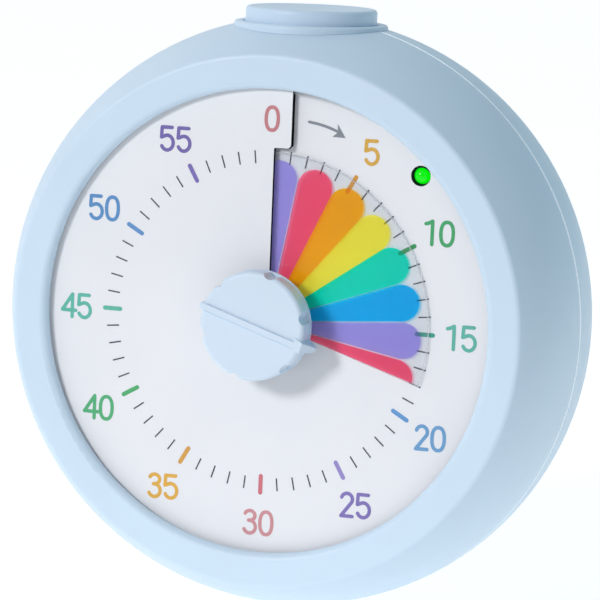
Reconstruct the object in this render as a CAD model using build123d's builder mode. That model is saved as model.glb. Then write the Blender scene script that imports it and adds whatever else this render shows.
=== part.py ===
from build123d import *
import math
import os

# Visual countdown timer: a round case stands on a flat foot, and a clear disc printed with
# coloured petals winds out of a slit in its helical dial as the knob is set in minutes.
#
# Frame: millimetres, +Z up, the dial faces -Y, +X is to the right of someone reading it.
# The origin is the middle of the flat foot, below the widest section of the case.
# "Clock degrees" run clockwise from 12 o'clock, as seen from the front.

# ---------------------------------------------------------------- driving dimensions
# Case: a barrel turned about the dial axis, with a flat foot
case_radius = 50.0  # widest section, at y = 0
front_arc = 35.5  # radius of the wall's curve in front of the widest section
rear_arc = 37.8  # and behind it
front_y = -19.1
rear_y = 19.5
seam_y = -1.8  # where the front shell meets the rear cover
foot_cut = 1.2  # depth of the flat foot in the round case
foot_thickness = 1.8
wall = 2.0
rim_fillet = 0.9
rear_fillet = 3.0
tongue_length = 1.6
tongue_gap = 0.1
seam_chamfer = 0.3  # depth of the front shell's bevel at the seam

# Window and dial
rim_width = 11.2  # of the case in front, from its widest section in to the window
window_fillet = 1.2
lip_thickness = 1.7
dial_y = -16.5  # mean plane of the helical dial's front
dial_pitch = 1.3  # rise of the dial and the film in one turn
dial_thickness = 0.6
dial_overlap = 1.4  # of the dial behind the window's lip
dial_hole_radius = 6.2
slit_x = 0.35  # edge of the dial's raised end, right of the 12 o'clock line
slit_lap = 0.2  # how far the low end runs on beneath it
slit_clearance = 0.75  # of the film's edge to where the slit steps aside
slit_step_x = 3.3  # the raised end's edge beyond the step
slit_inner_corner = 0.3
slit_outer_corner = 0.7
slit_under = 1.0  # clock degrees that the low end is swept past 12 o'clock before it is cut
slit_over = 9.0  # and the high end

# Film disc and its hub
film_radius = 28.3
film_thickness = 0.2
film_gap = (dial_pitch - dial_thickness - film_thickness) / 2
film_cut = 1.0  # clock degrees missing between the film's two edges
set_angle = 108.0  # clock degrees of the film's leading edge: 18 minutes
hub_radius = 4.6
film_seat = 0.02  # between the hub and the film glued round it
hub_front = 1.7  # reach of the hub in front of the dial plane
hub_back = 1.75  # and behind it

# Knob and spindle
spindle_radius = 2.0
spindle_flat = 1.5  # distance of the D flat from the axis
running_gap = 0.05
knob_face_radius = 9.1
knob_base_radius = 8.95
knob_height = 7.6  # face over the dial plane
knob_lift = 3.4  # bottom over the dial plane
knob_bead = 0.15  # how far the bead round the bottom stands out
knob_bead_height = 0.5
knob_wall = 1.4
knob_face_thickness = 1.6
knob_boss_radius = 3.6
knob_fillet = 0.7
boss_gap = 0.4  # to the hub at its foremost
spindle_inset = 0.8  # of the spindle's end in the knob's face
beak_sink = 0.2  # of the nose and tail in the knob's wall
grip_count = 6
grip_radius = 1.2
grip_depth = 0.7
rib_width = 1.0
rib_height = 0.35
rib_groove = 0.2  # width of the groove on each side of the rib
rib_groove_depth = 0.12
nose_reach = 11.0
nose_height = 5.4  # top of its tip over the dial plane
nose_root_width = 2.4
nose_tip_width = 0.9
beak_tip = 0.8  # thickness of the tips of the nose and the tail
beak_fillet = 0.4
tail_reach = 9.7
tail_height = 7.4

# Inner frame: carries the dial, the movement and the circuit board
frame_front_y = -14.2
frame_thickness = 1.5
frame_skirt_y = -8.0
frame_skirt = 1.5
ear_radius = 3.0
ear_outset = 2.7  # of the ears' middles outside the dial
ear_thickness = 1.5
shell_post_radius = 2.4
rib_count = 12
dial_rib_length = 8.0
dial_rib_width = 1.2
dial_rib_inset = 5.6  # of the ribs' middles inside the dial's edge
seat_gap = 0.05

# Screws
frame_screw_radius = 0.9
frame_screw_length = 6.5
case_screw_radius = 1.0
case_screw_length = 10.0
case_screw_seat_y = -1.0
small_screw_radius = 0.7
screw_bite = 0.03  # radial clearance of a formed thread in its post
case_post_upper_angle = 69.4  # clock degrees, on both sides
case_post_upper_inset = 6.0  # inside the dial's edge
case_post_lower_angle = 118.4
case_post_lower_inset = 4.4
case_post_radius = 2.8
case_post_y = -4.0  # where the frame's posts meet the rear cover's tubes
case_tube_radius = 3.3
case_tube_bore = 2.4
screw_head_height = 1.2
screw_clearance = 0.2

# Top button
button_radius = 11.1
button_rise = 1.5  # of its top over the case's widest section
button_skirt = 3.6
button_travel = 1.0
button_fillet = 0.7
button_roof = 1.65  # thickness of its top outside the dish
button_dish_radius = 10.2
button_dish_depth = 0.35
collar_radius = 13.0
collar_drop = 1.0  # of its top below the case's widest section
collar_gap = 0.2
collar_wall = 1.1
well_gap = 0.1  # around the collar's tube in the case
saddle_gap = 0.03  # under the collar's flange
collar_depth = 7.0  # of its floor below the case's widest section
collar_floor_thickness = 1.2
stem_radius = 2.4
stem_gap = 0.2
stem_head_radius = 3.0
stem_head_thickness = 1.0
button_wall = 1.4
collar_fillet = 0.55
spring_radius = 4.2
spring_wire = 0.5
spring_turns = 4

# Gear train
gear_module = 0.5
pressure_angle = 25.0
gear_addendum = 0.9  # tooth heights in modules
gear_dedendum = 1.2
shoulder_radius = 3.6
shoulder_thickness = 0.6
clutch_radius = 4.2
clutch_thickness = 0.7
clip_radius = 3.4
clip_thickness = 0.6
clip_groove_radius = 1.4
clip_opening = 2.4
spindle_rear_y = -3.0
frame_hub_radius = 4.0
gear_backlash = 0.12
gear_play = 0.08  # added to each centre distance
output_teeth = 48
idler_pinion_teeth = 12
idler_teeth = 40
motor_pinion_teeth = 10
output_gear_y = -10.0
output_gear_width = 2.0
gear_windows = 4
gear_window_circle = 7.6
gear_window_radius = 2.2
clutch_slots = 3
clutch_slot_width = 0.8
pinion_overhang = 0.4
motor_fillet = 0.5
idler_gear_y = -6.9
idler_gear_width = 1.3
movement_front_y = frame_front_y + frame_thickness
movement_rear_y = -4.0
movement_wall = 1.2
movement_inset = 12.7  # of the movement's left side inside the dial's edge
movement_right = 14.2
movement_top = 14.2
movement_bottom = -17.5
idler_shaft_radius = 0.75
motor_radius = 7.5
motor_length = 6.8
motor_shaft_radius = 0.75
motor_shaft_socket = 3.0
idler_socket = 0.8
movement_post_radius = 1.8
movement_screw_inset = 2.6
movement_corner = 3.0

# Circuit board and what it carries
board_y = -5.0
board_thickness = 1.6
board_screw_x = 21.0
board_screw_z = 19.5
board_post_radius = 2.0
board_screw_length = 6.0
board_chamfer = 9.0
buzzer_port_radius = 1.2
plunger_bore = 2.4
plunger_length = 2.3
plunger_rise = 1.6  # of the plunger over the switch
board_bottom = 16.0
board_inset = 2.2  # of the board's top inside the dial's edge
board_left = -26.0
board_right = 30.5
switch_width = 6.0
switch_depth = 6.6
switch_drop = 1.0  # of the switch's top below the board's
switch_height = 4.0
plunger_radius = 1.6
buzzer_radius = 6.0
buzzer_height = 8.0
buzzer_x = -17.0
buzzer_z = 27.0
led_angle = 44.5  # clock degrees
led_inset = 3.7  # inside the dial's edge
led_radius = 1.45
led_hole_radius = 1.7
led_rise = 0.3  # of its tip over the dial
led_flange_radius = 1.9
led_flange = 0.9
led_holder_radius = 2.0
led_holder_front_y = -13.2
led_leg = 0.5
led_leg_spacing = 2.54
led_leg_gap = 0.1
led_leg_end = 1.0  # how far the legs stand out of the board's back
chip_width = 9.0
chip_height = 7.0
chip_thickness = 1.5
chip_x = 13.0
chip_z = 27.0
chip_pins = 8  # on each long side
chip_pin_pitch = 1.0
chip_pin_width = 0.4
chip_pin_thickness = 0.25
chip_pin_reach = 1.2

# Batteries and their bay in the rear cover
cell_radius = 5.25
cell_length = 43.7
cell_nub_radius = 1.9
cell_nub = 0.8
cell_pitch = 11.2
cell_clearance = 0.3
bay_end_room = 2.25  # for a contact past each end of the cells
bay_side_room = 0.95  # over and under the cells
bay_rear_room = 1.1  # between the cells and the door
bay_z = -17.5
bay_wall = 1.4
contact_thickness = 0.4
contact_width = 8.0
contact_dimple = 2.4
tab_width = 1.6  # of the terminals' solder tabs
tab_offset = 1.5  # of the tabs behind and in front of the cells' middle, so that each is free above
tab_reach = 1.4  # how far they come out of the bay's wall
tab_room = 0.2
door_side_lap = 2.0  # of the door past the bay, left and right
door_end_lap = 1.7  # over and under it
door_thickness = 1.6
door_corner = 2.0
door_gap = 0.25
hook_spacing = 30.0
hook_width = 5.0
hook_reach = 0.7  # how far the hooks go past the door's top edge
hook_thickness = 1.4
hook_drop = 0.5  # the hooks' distance behind the door's plate
thumb_radius = 5.0
thumb_depth = 1.0

# Sound slots
sound_slot_count = 5
sound_slot_pitch = 2.6
sound_slot_length = 10.0
sound_slot_width = 1.2
sound_slot_z = 26.0

# Volume switch on the back
volume_x = 21.0
volume_z = 13.0
volume_travel = 2.0
volume_nub_width = 3.0
volume_nub_height = 2.6
volume_nub_proud = 1.2
volume_slot_gap = 0.3
volume_body_width = 10.0
volume_body_height = 5.6
volume_body_depth = 4.0
cradle_rail = 1.0

# ---------------------------------------------------------------- derived sizes
axis_z = case_radius - foot_cut  # height of the dial axis
axis_line = Axis((0, 0, axis_z), (0, 1, 0))
window_radius = case_radius - rim_width
dial_radius = window_radius + dial_overlap
slit_reach = film_radius + slit_clearance
ear_circle = dial_radius + ear_outset
dial_rib_circle = dial_radius - dial_rib_inset
led_circle = dial_radius - led_inset
movement_left = movement_inset - dial_radius
board_top = dial_radius - board_inset
switch_top = board_top - switch_drop
stem_end = switch_top + plunger_rise
button_top = case_radius + button_rise  # over the dial axis
collar_top = case_radius - collar_drop
collar_floor = case_radius - collar_depth
bay_width = cell_length + cell_nub + 2 * bay_end_room
bay_height = 2 * cell_radius + cell_pitch + 2 * bay_side_room
bay_depth = door_thickness + bay_rear_room + 2 * cell_radius + cell_clearance
door_width = bay_width + 2 * door_side_lap
door_height = bay_height + 2 * door_end_lap
lip_y = front_y + lip_thickness
frame_rear_y = frame_front_y + frame_thickness
ear_y = frame_skirt_y - ear_thickness
collar_tube_radius = button_radius + collar_gap + collar_wall
collar_well = collar_tube_radius + well_gap
rear_wall_y = rear_y - wall
bay_front_y = rear_y - bay_depth
door_y = rear_y - door_thickness
cell_y = bay_front_y + cell_clearance + cell_radius
cells_z = [axis_z + bay_z + side * cell_pitch / 2 for side in (1, -1)]
tabs_y = [cell_y + side * tab_offset for side in (1, -1)]
bay_top = bay_z + bay_height / 2
pocket_height = (door_height - bay_height) / 2 + hook_reach + door_gap
movement_screws_at = [
    (x, z)
    for x in (movement_left + movement_screw_inset, movement_right - movement_screw_inset)
    for z in (movement_bottom + movement_screw_inset, movement_top - movement_screw_inset)
]
board_screws_at = [(side * board_screw_x, board_screw_z) for side in (-1, 1)]
board_rear_y = board_y + board_thickness
case_screw_tip_y = case_screw_seat_y - case_screw_length
idler_distance = gear_module * (output_teeth + idler_pinion_teeth) / 2 + gear_play
motor_distance = gear_module * (idler_teeth + motor_pinion_teeth) / 2 + gear_play
idler_at = (-idler_distance, 0)
motor_at = (-idler_distance, -motor_distance)
pointer_dir = (math.sin(math.radians(set_angle)), 0, math.cos(math.radians(set_angle)))
parts_folder = "parts"


def facing(y):
    """A plane square to the dial axis at depth y, seen as the reader sees it; extrude comes forward."""
    return Plane(origin=(0, y, axis_z), x_dir=(1, 0, 0), z_dir=(0, -1, 0))


def clock(angle, radius):
    """Plan position on a facing plane at an angle in clock degrees."""
    return (radius * math.sin(math.radians(angle)), radius * math.cos(math.radians(angle)))


def wall_radius(y, inset):
    """Radius of the barrel at depth y, an inset inside its outer surface."""
    arc = front_arc if y < 0 else rear_arc
    return case_radius - arc + math.sqrt((arc - inset) ** 2 - y**2)


def barrel(inset, y_from, y_to):
    """The barrel's solid an inset inside its outer surface, between two depths."""
    knots = [y_from, 0.0, y_to] if y_from < 0 < y_to else [y_from, y_to]
    with BuildPart() as turned:
        with BuildSketch(Plane.YZ):
            with BuildLine():
                Line((y_from, axis_z), (y_from, axis_z + wall_radius(y_from, inset)))
                for a, b in zip(knots, knots[1:]):
                    points = [(y, axis_z + wall_radius(y, inset)) for y in (a, (a + b) / 2, b)]
                    ThreePointArc(*points)
                Line((y_to, axis_z + wall_radius(y_to, inset)), (y_to, axis_z))
                Line((y_to, axis_z), (y_from, axis_z))
            make_face()
        revolve(axis=axis_line)
    return turned.part


def below(z):
    """Everything under a height, as a solid to cut with."""
    with BuildPart() as block:
        with BuildSketch(Plane.XY.offset(z)):
            Rectangle(4 * case_radius, 4 * case_radius)
        extrude(amount=-2 * case_radius)
    return block.part


def dial_front(angle):
    """Depth of the dial's front face at an angle in clock degrees from the slit."""
    return dial_y + dial_pitch / 2 - dial_pitch * angle / 360


def helicoid(start, sweep_angle, inner, outer, thickness, front):
    """A thin plate that winds clockwise towards the reader from a start angle; front is its depth there."""
    middle = (inner + outer) / 2
    with BuildPart() as plate:
        with BuildLine() as winding:
            Helix(dial_pitch, dial_pitch * sweep_angle / 360, middle, lefthand=True)
        with BuildSketch(Plane.XZ):
            with Locations((middle, -thickness / 2)):
                Rectangle(outer - inner, thickness)
        sweep(path=winding.line, is_frenet=True)
    start_dir = (math.sin(math.radians(start)), 0, math.cos(math.radians(start)))
    return Plane(origin=(0, front, axis_z), x_dir=start_dir, z_dir=(0, -1, 0)) * plate.part


def save(piece, name):
    """Labels a finished piece and writes its STEP file."""
    piece.part.label = name
    export_step(piece.part, f"{parts_folder}/{name}.step")


upper_post = clock(case_post_upper_angle, dial_radius - case_post_upper_inset)
lower_post = clock(case_post_lower_angle, dial_radius - case_post_lower_inset)
case_posts = [(side * x, z) for x, z in (upper_post, lower_post) for side in (-1, 1)]

os.makedirs(parts_folder, exist_ok=True)

# ---------------------------------------------------------------- front shell
under_foot = below(0)

with BuildPart() as seam_bevel:
    with BuildSketch(Plane.YZ):
        with BuildLine():
            Polyline(
                (seam_y, axis_z + wall_radius(seam_y, 0) - seam_chamfer),
                (seam_y, axis_z + wall_radius(seam_y, 0) + seam_chamfer),
                (seam_y - 3 * seam_chamfer, axis_z + wall_radius(seam_y, 0) + seam_chamfer),
                close=True,
            )
        make_face()
    revolve(axis=axis_line)

front_barrel = barrel(0, front_y, seam_y)
front_cavity = barrel(wall, lip_y, seam_y + tongue_length) - below(foot_thickness)
tongue = barrel(wall / 2 + tongue_gap, seam_y - tongue_length, seam_y + tongue_length)
tongue -= below(foot_thickness + wall)

with BuildPart() as front_shell:
    add(front_barrel)
    fillet(front_shell.edges().filter_by(GeomType.CIRCLE).group_by(Axis.Y)[0], rim_fillet)
    add(tongue)
    add(front_cavity, mode=Mode.SUBTRACT)
    add(seam_bevel.part, mode=Mode.SUBTRACT)
    # posts for the inner frame's screws
    with BuildSketch(facing(ear_y)):
        with PolarLocations(ear_circle, 4, 45):
            Circle(shell_post_radius)
    extrude(amount=ear_y - lip_y)
    with BuildSketch(facing(ear_y)):
        with PolarLocations(ear_circle, 4, 45):
            Circle(frame_screw_radius + screw_bite)
    extrude(amount=frame_screw_length - ear_thickness + screw_clearance, mode=Mode.SUBTRACT)
    # the window, with a rounded edge
    with BuildSketch(facing(lip_y)):
        Circle(window_radius)
    extrude(amount=lip_thickness, mode=Mode.SUBTRACT)
    front_rings = front_shell.edges().filter_by(GeomType.CIRCLE).group_by(Axis.Y)[0]
    fillet(front_rings.sort_by(SortBy.RADIUS)[0], window_fillet)
    # the button's well and the flat foot
    with BuildSketch(Plane.XY.offset(axis_z + collar_floor)):
        Circle(collar_well)
    extrude(amount=case_radius, mode=Mode.SUBTRACT)
    add(under_foot, mode=Mode.SUBTRACT)
save(front_shell, "front_shell")

# ---------------------------------------------------------------- rear cover
rear_barrel = barrel(0, seam_y, rear_y)
rear_cavity = barrel(wall, seam_y, rear_wall_y) - below(foot_thickness)
rebate = barrel(wall / 2, seam_y, seam_y + tongue_length + tongue_gap)
rebate -= below(foot_thickness + wall - tongue_gap)

with BuildPart() as rear_cover:
    add(rear_barrel)
    fillet(rear_cover.edges().filter_by(GeomType.CIRCLE).group_by(Axis.Y)[-1], rear_fillet)
    add(rear_cavity, mode=Mode.SUBTRACT)
    add(rebate, mode=Mode.SUBTRACT)
    # the battery bay's box, open to the back
    with BuildSketch(facing(rear_wall_y)):
        with Locations((0, bay_z)):
            Rectangle(bay_width + 2 * bay_wall, bay_height + 2 * bay_wall)
    extrude(amount=rear_wall_y - bay_front_y + bay_wall)
    with BuildSketch(facing(rear_y)):
        with Locations((0, bay_z)):
            Rectangle(bay_width, bay_height)
    extrude(amount=bay_depth, mode=Mode.SUBTRACT)
    # slots in the bay's wall for the terminals' solder tabs
    with BuildSketch(Plane.YZ.offset(bay_width / 2)):
        for y, z in zip(tabs_y, cells_z):
            with Locations((y, z)):
                Rectangle(tab_width + 2 * tab_room, contact_thickness + 2 * tab_room)
    extrude(amount=bay_wall, mode=Mode.SUBTRACT)
    # the door's recess, with pockets for its two hooks and a thumb notch
    with BuildSketch(facing(rear_y)):
        with Locations((0, bay_z)):
            RectangleRounded(door_width, door_height, door_corner)
    extrude(amount=door_thickness, mode=Mode.SUBTRACT)
    with BuildSketch(facing(door_y)):
        with Locations((0, bay_top + pocket_height / 2)):
            with GridLocations(hook_spacing, 0, 2, 1):
                Rectangle(hook_width + 2 * door_gap, pocket_height)
    extrude(amount=hook_drop + hook_thickness + door_gap, mode=Mode.SUBTRACT)
    with BuildSketch(facing(rear_y)):
        with Locations((0, bay_z - door_height / 2)):
            Circle(thumb_radius)
    extrude(amount=thumb_depth, mode=Mode.SUBTRACT)
    # screw tubes, which reach forward to the frame's posts
    with BuildSketch(facing(rear_wall_y)):
        with Locations(*case_posts):
            Circle(case_tube_radius)
    extrude(amount=rear_wall_y - case_post_y)
    with BuildSketch(facing(rear_y)):
        with Locations(*case_posts):
            Circle(case_screw_radius + screw_clearance)
    extrude(amount=rear_y - case_post_y, mode=Mode.SUBTRACT)
    with BuildSketch(facing(rear_y)):
        with Locations(*case_posts):
            Circle(case_tube_bore)
    extrude(amount=rear_y - case_screw_seat_y, mode=Mode.SUBTRACT)
    # two rails that hold the volume switch against the wall, and its opening
    with BuildSketch(facing(rear_wall_y)):
        with Locations((volume_x, volume_z)):
            with GridLocations(0, volume_body_height + cradle_rail + 2 * running_gap, 1, 2):
                Rectangle(volume_body_width, cradle_rail)
    extrude(amount=volume_body_depth)
    with BuildSketch(facing(rear_y)):
        with Locations((volume_x, volume_z)):
            Rectangle(
                volume_nub_width + 2 * volume_travel + 2 * volume_slot_gap,
                volume_nub_height + 2 * volume_slot_gap,
            )
    extrude(amount=wall, mode=Mode.SUBTRACT)
    # sound slots
    with BuildSketch(facing(rear_y)):
        with Locations((buzzer_x, sound_slot_z)):
            with GridLocations(0, sound_slot_pitch, 1, sound_slot_count):
                SlotOverall(sound_slot_length, sound_slot_width)
    extrude(amount=wall, mode=Mode.SUBTRACT)
    # the button's well and the flat foot
    with BuildSketch(Plane.XY.offset(axis_z + collar_floor)):
        Circle(collar_well)
    extrude(amount=case_radius, mode=Mode.SUBTRACT)
    add(under_foot, mode=Mode.SUBTRACT)
save(rear_cover, "rear_cover")

# ---------------------------------------------------------------- helical dial
slit_layer_y = dial_y + dial_thickness / 2  # lies between the dial's two ends at the slit


def slit_side(shift, side):
    """The dial's half on one side of the stepped slit, above its centre; side is -1 left, 1 right."""
    near, step = slit_x + shift, slit_step_x + shift
    far, top = side * 2 * dial_radius, 2 * dial_radius
    with BuildSketch() as half:
        with BuildLine():
            Polyline(
                (near, 0),
                (near, slit_reach),
                (step, slit_reach),
                (step, top),
                (far, top),
                (far, 0),
                close=True,
            )
        make_face()
        for x, corner in ((near, slit_inner_corner), (step, slit_outer_corner)):
            fillet(half.vertices().sort_by_distance((x, slit_reach))[0], corner)
    return half.sketch


wound_dial = helicoid(
    start=-slit_under,
    sweep_angle=slit_under + 360 + slit_over,
    inner=dial_hole_radius,
    outer=dial_radius,
    thickness=dial_thickness,
    front=dial_front(-slit_under),
)
left_of_slit = slit_side(-slit_lap, -1)
right_of_slit = slit_side(0, 1)

with BuildPart() as dial_plate:
    add(wound_dial)
    # the low end keeps only what lies right of the slit
    with BuildSketch(facing(dial_y + dial_pitch + dial_thickness)):
        add(left_of_slit)
    extrude(amount=dial_y + dial_pitch + dial_thickness - slit_layer_y, mode=Mode.SUBTRACT)
    # and the raised end only what lies left of it
    with BuildSketch(facing(slit_layer_y)):
        add(right_of_slit)
    extrude(amount=dial_pitch + dial_thickness, mode=Mode.SUBTRACT)
    with BuildSketch(facing(dial_y + dial_pitch + dial_thickness)):
        with Locations(clock(led_angle, led_circle)):
            Circle(led_hole_radius)
    extrude(amount=2 * (dial_pitch + dial_thickness), mode=Mode.SUBTRACT)
save(dial_plate, "dial_plate")

# ---------------------------------------------------------------- film disc and hub
film_start = set_angle - 360 + film_cut
hub_rear_y = dial_y + hub_back
hub_front_y = dial_y - hub_front

wound_film = helicoid(
    start=film_start,
    sweep_angle=360 - film_cut,
    inner=hub_radius + film_seat,
    outer=film_radius,
    thickness=film_thickness,
    front=dial_front(film_start) - film_gap - film_thickness,
)

with BuildPart() as film_disc:
    add(wound_film)
save(film_disc, "film_disc")


def d_section(radius, flat):
    """A round section with one flat."""
    with BuildSketch() as section:
        Circle(radius)
        with Locations((0, flat + radius)):
            Rectangle(2 * radius, 2 * radius, mode=Mode.SUBTRACT)
    return section.sketch


hub_bore = d_section(spindle_radius + running_gap, spindle_flat + running_gap)

with BuildPart() as disc_hub:
    with BuildSketch(facing(hub_rear_y)):
        Circle(hub_radius)
        add(hub_bore, mode=Mode.SUBTRACT)
    extrude(amount=hub_rear_y - hub_front_y)
save(disc_hub, "disc_hub")

# ---------------------------------------------------------------- knob and spindle
knob_bottom_y = dial_y - knob_lift
knob_face_y = dial_y - knob_height
knob_depth = knob_height - knob_lift
knob_roof_y = knob_face_y + knob_face_thickness
boss_y = hub_front_y - dial_pitch * (1 - set_angle / 360) - boss_gap
spindle_front_y = knob_roof_y - spindle_inset
knob_plan = Plane(origin=(0, knob_bottom_y, axis_z), x_dir=pointer_dir, z_dir=(0, -1, 0))
across_rib = Vector(pointer_dir).cross(Vector(0, -1, 0))
knob_side = Plane(origin=(0, knob_bottom_y, axis_z), x_dir=pointer_dir, z_dir=across_rib)


def beak(side, reach, tip_height, root_width, tip_width):
    """A fin that carries the knob's rib past the rim and slopes back to the bottom."""
    root = knob_face_radius - knob_wall + beak_sink
    crest = knob_depth + rib_height
    with BuildPart() as fin:
        with BuildSketch(knob_plan) as fin_plan:
            with BuildLine():
                Polyline(
                    (side * root, -root_width / 2),
                    (side * reach, -tip_width / 2),
                    (side * reach, tip_width / 2),
                    (side * root, root_width / 2),
                    close=True,
                )
            make_face()
            tips = fin_plan.vertices().sort_by_distance((0, 0))[-2:]
            fillet(tips, min(beak_fillet, 0.45 * tip_width))
        extrude(amount=crest)
        with BuildSketch(knob_side):
            with BuildLine():
                Polyline(
                    (side * root, 0),
                    (side * knob_base_radius, 0),
                    (side * reach, tip_height - beak_tip),
                    (side * reach, tip_height),
                    (side * (knob_face_radius + beak_sink), crest),
                    (side * root, crest),
                    close=True,
                )
            make_face()
        extrude(amount=root_width, both=True, mode=Mode.INTERSECT)
    return fin.part


nose = beak(1, nose_reach, nose_height - knob_lift, nose_root_width, nose_tip_width)
tail = beak(-1, tail_reach, tail_height - knob_lift, rib_width, rib_width)
knob_bore = d_section(spindle_radius + screw_bite, spindle_flat + screw_bite)

with BuildPart() as knob:
    with BuildSketch(knob_side):
        with BuildLine():
            Polyline(
                (0, knob_depth),
                (knob_face_radius, knob_depth),
                (knob_base_radius, knob_bead_height),
                (knob_base_radius + knob_bead, knob_bead_height),
                (knob_base_radius + knob_bead, 0),
                (knob_base_radius - knob_wall, 0),
                (knob_face_radius - knob_wall, knob_depth - knob_face_thickness),
                (0, knob_depth - knob_face_thickness),
                close=True,
            )
        make_face()
    revolve(axis=axis_line)
    fillet(knob.faces().sort_by(Axis.Y)[0].outer_wire().edges(), knob_fillet)
    with BuildSketch(knob_plan.offset(knob_bead_height)):
        with PolarLocations(knob_face_radius - grip_depth + grip_radius, grip_count, 180 / grip_count):
            Circle(grip_radius)
    extrude(amount=knob_depth, mode=Mode.SUBTRACT)
    # the raised rib across the face between two grooves, and its two ends past the rim
    with BuildSketch(knob_plan.offset(knob_depth)):
        Rectangle(2 * knob_face_radius, rib_width + 2 * rib_groove)
    extrude(amount=-rib_groove_depth, mode=Mode.SUBTRACT)
    with BuildSketch(knob_plan.offset(knob_depth - knob_fillet)):
        Rectangle(2 * (knob_face_radius - knob_wall / 2), rib_width)
    extrude(amount=knob_fillet + rib_height)
    add(nose)
    add(tail)
    # the boss that grips the spindle
    with BuildSketch(facing(boss_y)):
        Circle(knob_boss_radius)
    extrude(amount=boss_y - knob_roof_y)
    with BuildSketch(facing(boss_y)):
        add(knob_bore)
    extrude(amount=boss_y - spindle_front_y + screw_bite, mode=Mode.SUBTRACT)
save(knob, "knob")

shoulder_y = output_gear_y - shoulder_thickness
clip_y = output_gear_y + output_gear_width + clutch_thickness

spindle_flats = d_section(spindle_radius, spindle_flat)

with BuildPart() as spindle:
    with BuildSketch(facing(spindle_rear_y)):
        Circle(spindle_radius)
    extrude(amount=spindle_rear_y - frame_front_y)
    with BuildSketch(facing(frame_front_y)):
        add(spindle_flats)
    extrude(amount=frame_front_y - spindle_front_y)
    with BuildSketch(facing(output_gear_y)):
        Circle(shoulder_radius)
    extrude(amount=shoulder_thickness)
    with BuildSketch(facing(clip_y + clip_thickness + running_gap)):
        Circle(spindle_radius)
        Circle(clip_groove_radius, mode=Mode.SUBTRACT)
    extrude(amount=clip_thickness + running_gap, mode=Mode.SUBTRACT)
save(spindle, "spindle")

# ---------------------------------------------------------------- inner frame
frame_hub_y = shoulder_y - running_gap

with BuildPart() as inner_frame:
    with BuildSketch(facing(frame_rear_y)):
        Circle(dial_radius)
    extrude(amount=frame_thickness)
    with BuildSketch(facing(frame_skirt_y)):
        Circle(dial_radius)
        Circle(dial_radius - frame_skirt, mode=Mode.SUBTRACT)
    extrude(amount=frame_skirt_y - frame_rear_y)
    with BuildSketch(facing(frame_skirt_y)):
        with PolarLocations(ear_circle, 4, 45):
            Circle(ear_radius)
        Circle(dial_radius - frame_skirt, mode=Mode.SUBTRACT)
    extrude(amount=ear_thickness)
    with BuildSketch(facing(frame_skirt_y)):
        with PolarLocations(ear_circle, 4, 45):
            Circle(frame_screw_radius + screw_clearance)
    extrude(amount=ear_thickness, mode=Mode.SUBTRACT)
    # ribs of rising height, which the helical dial lies on
    for k in range(rib_count):
        rib_angle = 360 / rib_count * (k + 0.75)
        seat_y = dial_front(rib_angle) + dial_thickness + seat_gap
        rib_x, rib_z = clock(rib_angle, dial_rib_circle)
        with BuildSketch(facing(frame_front_y)):
            with Locations(Location((rib_x, rib_z), -rib_angle)):
                Rectangle(dial_rib_width, dial_rib_length)
        extrude(amount=frame_front_y - seat_y)
    # the spindle's bearing
    with BuildSketch(facing(frame_hub_y)):
        Circle(frame_hub_radius)
    extrude(amount=frame_hub_y - frame_rear_y)
    with BuildSketch(facing(frame_hub_y)):
        Circle(spindle_radius + running_gap)
    extrude(amount=frame_hub_y - frame_front_y, mode=Mode.SUBTRACT)
    # posts for the rear cover's screws and for the circuit board
    with BuildSketch(facing(case_post_y)):
        with Locations(*case_posts):
            Circle(case_post_radius)
    extrude(amount=case_post_y - frame_rear_y)
    with BuildSketch(facing(case_post_y)):
        with Locations(*case_posts):
            Circle(case_screw_radius + screw_bite)
    extrude(amount=case_post_y - case_screw_tip_y + screw_clearance, mode=Mode.SUBTRACT)
    with BuildSketch(facing(board_y)):
        with Locations(*board_screws_at):
            Circle(board_post_radius)
    extrude(amount=board_y - frame_rear_y)
    with BuildSketch(facing(board_y)):
        with Locations(*board_screws_at):
            Circle(small_screw_radius + screw_bite)
    extrude(amount=board_y - frame_rear_y, mode=Mode.SUBTRACT)
    # holes for the movement's screws and for the light's holder
    with BuildSketch(facing(frame_rear_y)):
        with Locations(*movement_screws_at):
            Circle(small_screw_radius + screw_bite)
        with Locations(clock(led_angle, led_circle)):
            Circle(led_holder_radius + screw_clearance)
    extrude(amount=frame_thickness, mode=Mode.SUBTRACT)
save(inner_frame, "inner_frame")


def screws(places, seat_y, shank_radius, length):
    """Pan-head screws driven in from the back at several places, as one group of solids."""
    head_radius = 2 * shank_radius
    with BuildPart() as group:
        with BuildSketch(facing(seat_y)):
            with Locations(*places):
                Circle(shank_radius)
        extrude(amount=length)
        with BuildSketch(facing(seat_y + screw_head_height)):
            with Locations(*places):
                Circle(head_radius)
        extrude(amount=screw_head_height)
        heads = group.faces().sort_by(Axis.Y)[-len(places) :]
        fillet(heads.edges().filter_by(GeomType.CIRCLE), screw_head_height / 3)
        with BuildSketch(facing(seat_y + screw_head_height)):
            with Locations(*places):
                Rectangle(1.3 * head_radius, head_radius / 4)
                Rectangle(head_radius / 4, 1.3 * head_radius)
        extrude(amount=screw_head_height / 2, mode=Mode.SUBTRACT)
    return group


frame_screws_at = [clock(45 + 90 * k, ear_circle) for k in range(4)]
frame_screws = screws(frame_screws_at, frame_skirt_y, frame_screw_radius, frame_screw_length)
save(frame_screws, "frame_screws")
case_screws = screws(case_posts, case_screw_seat_y, case_screw_radius, case_screw_length)
save(case_screws, "case_screws")

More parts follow.
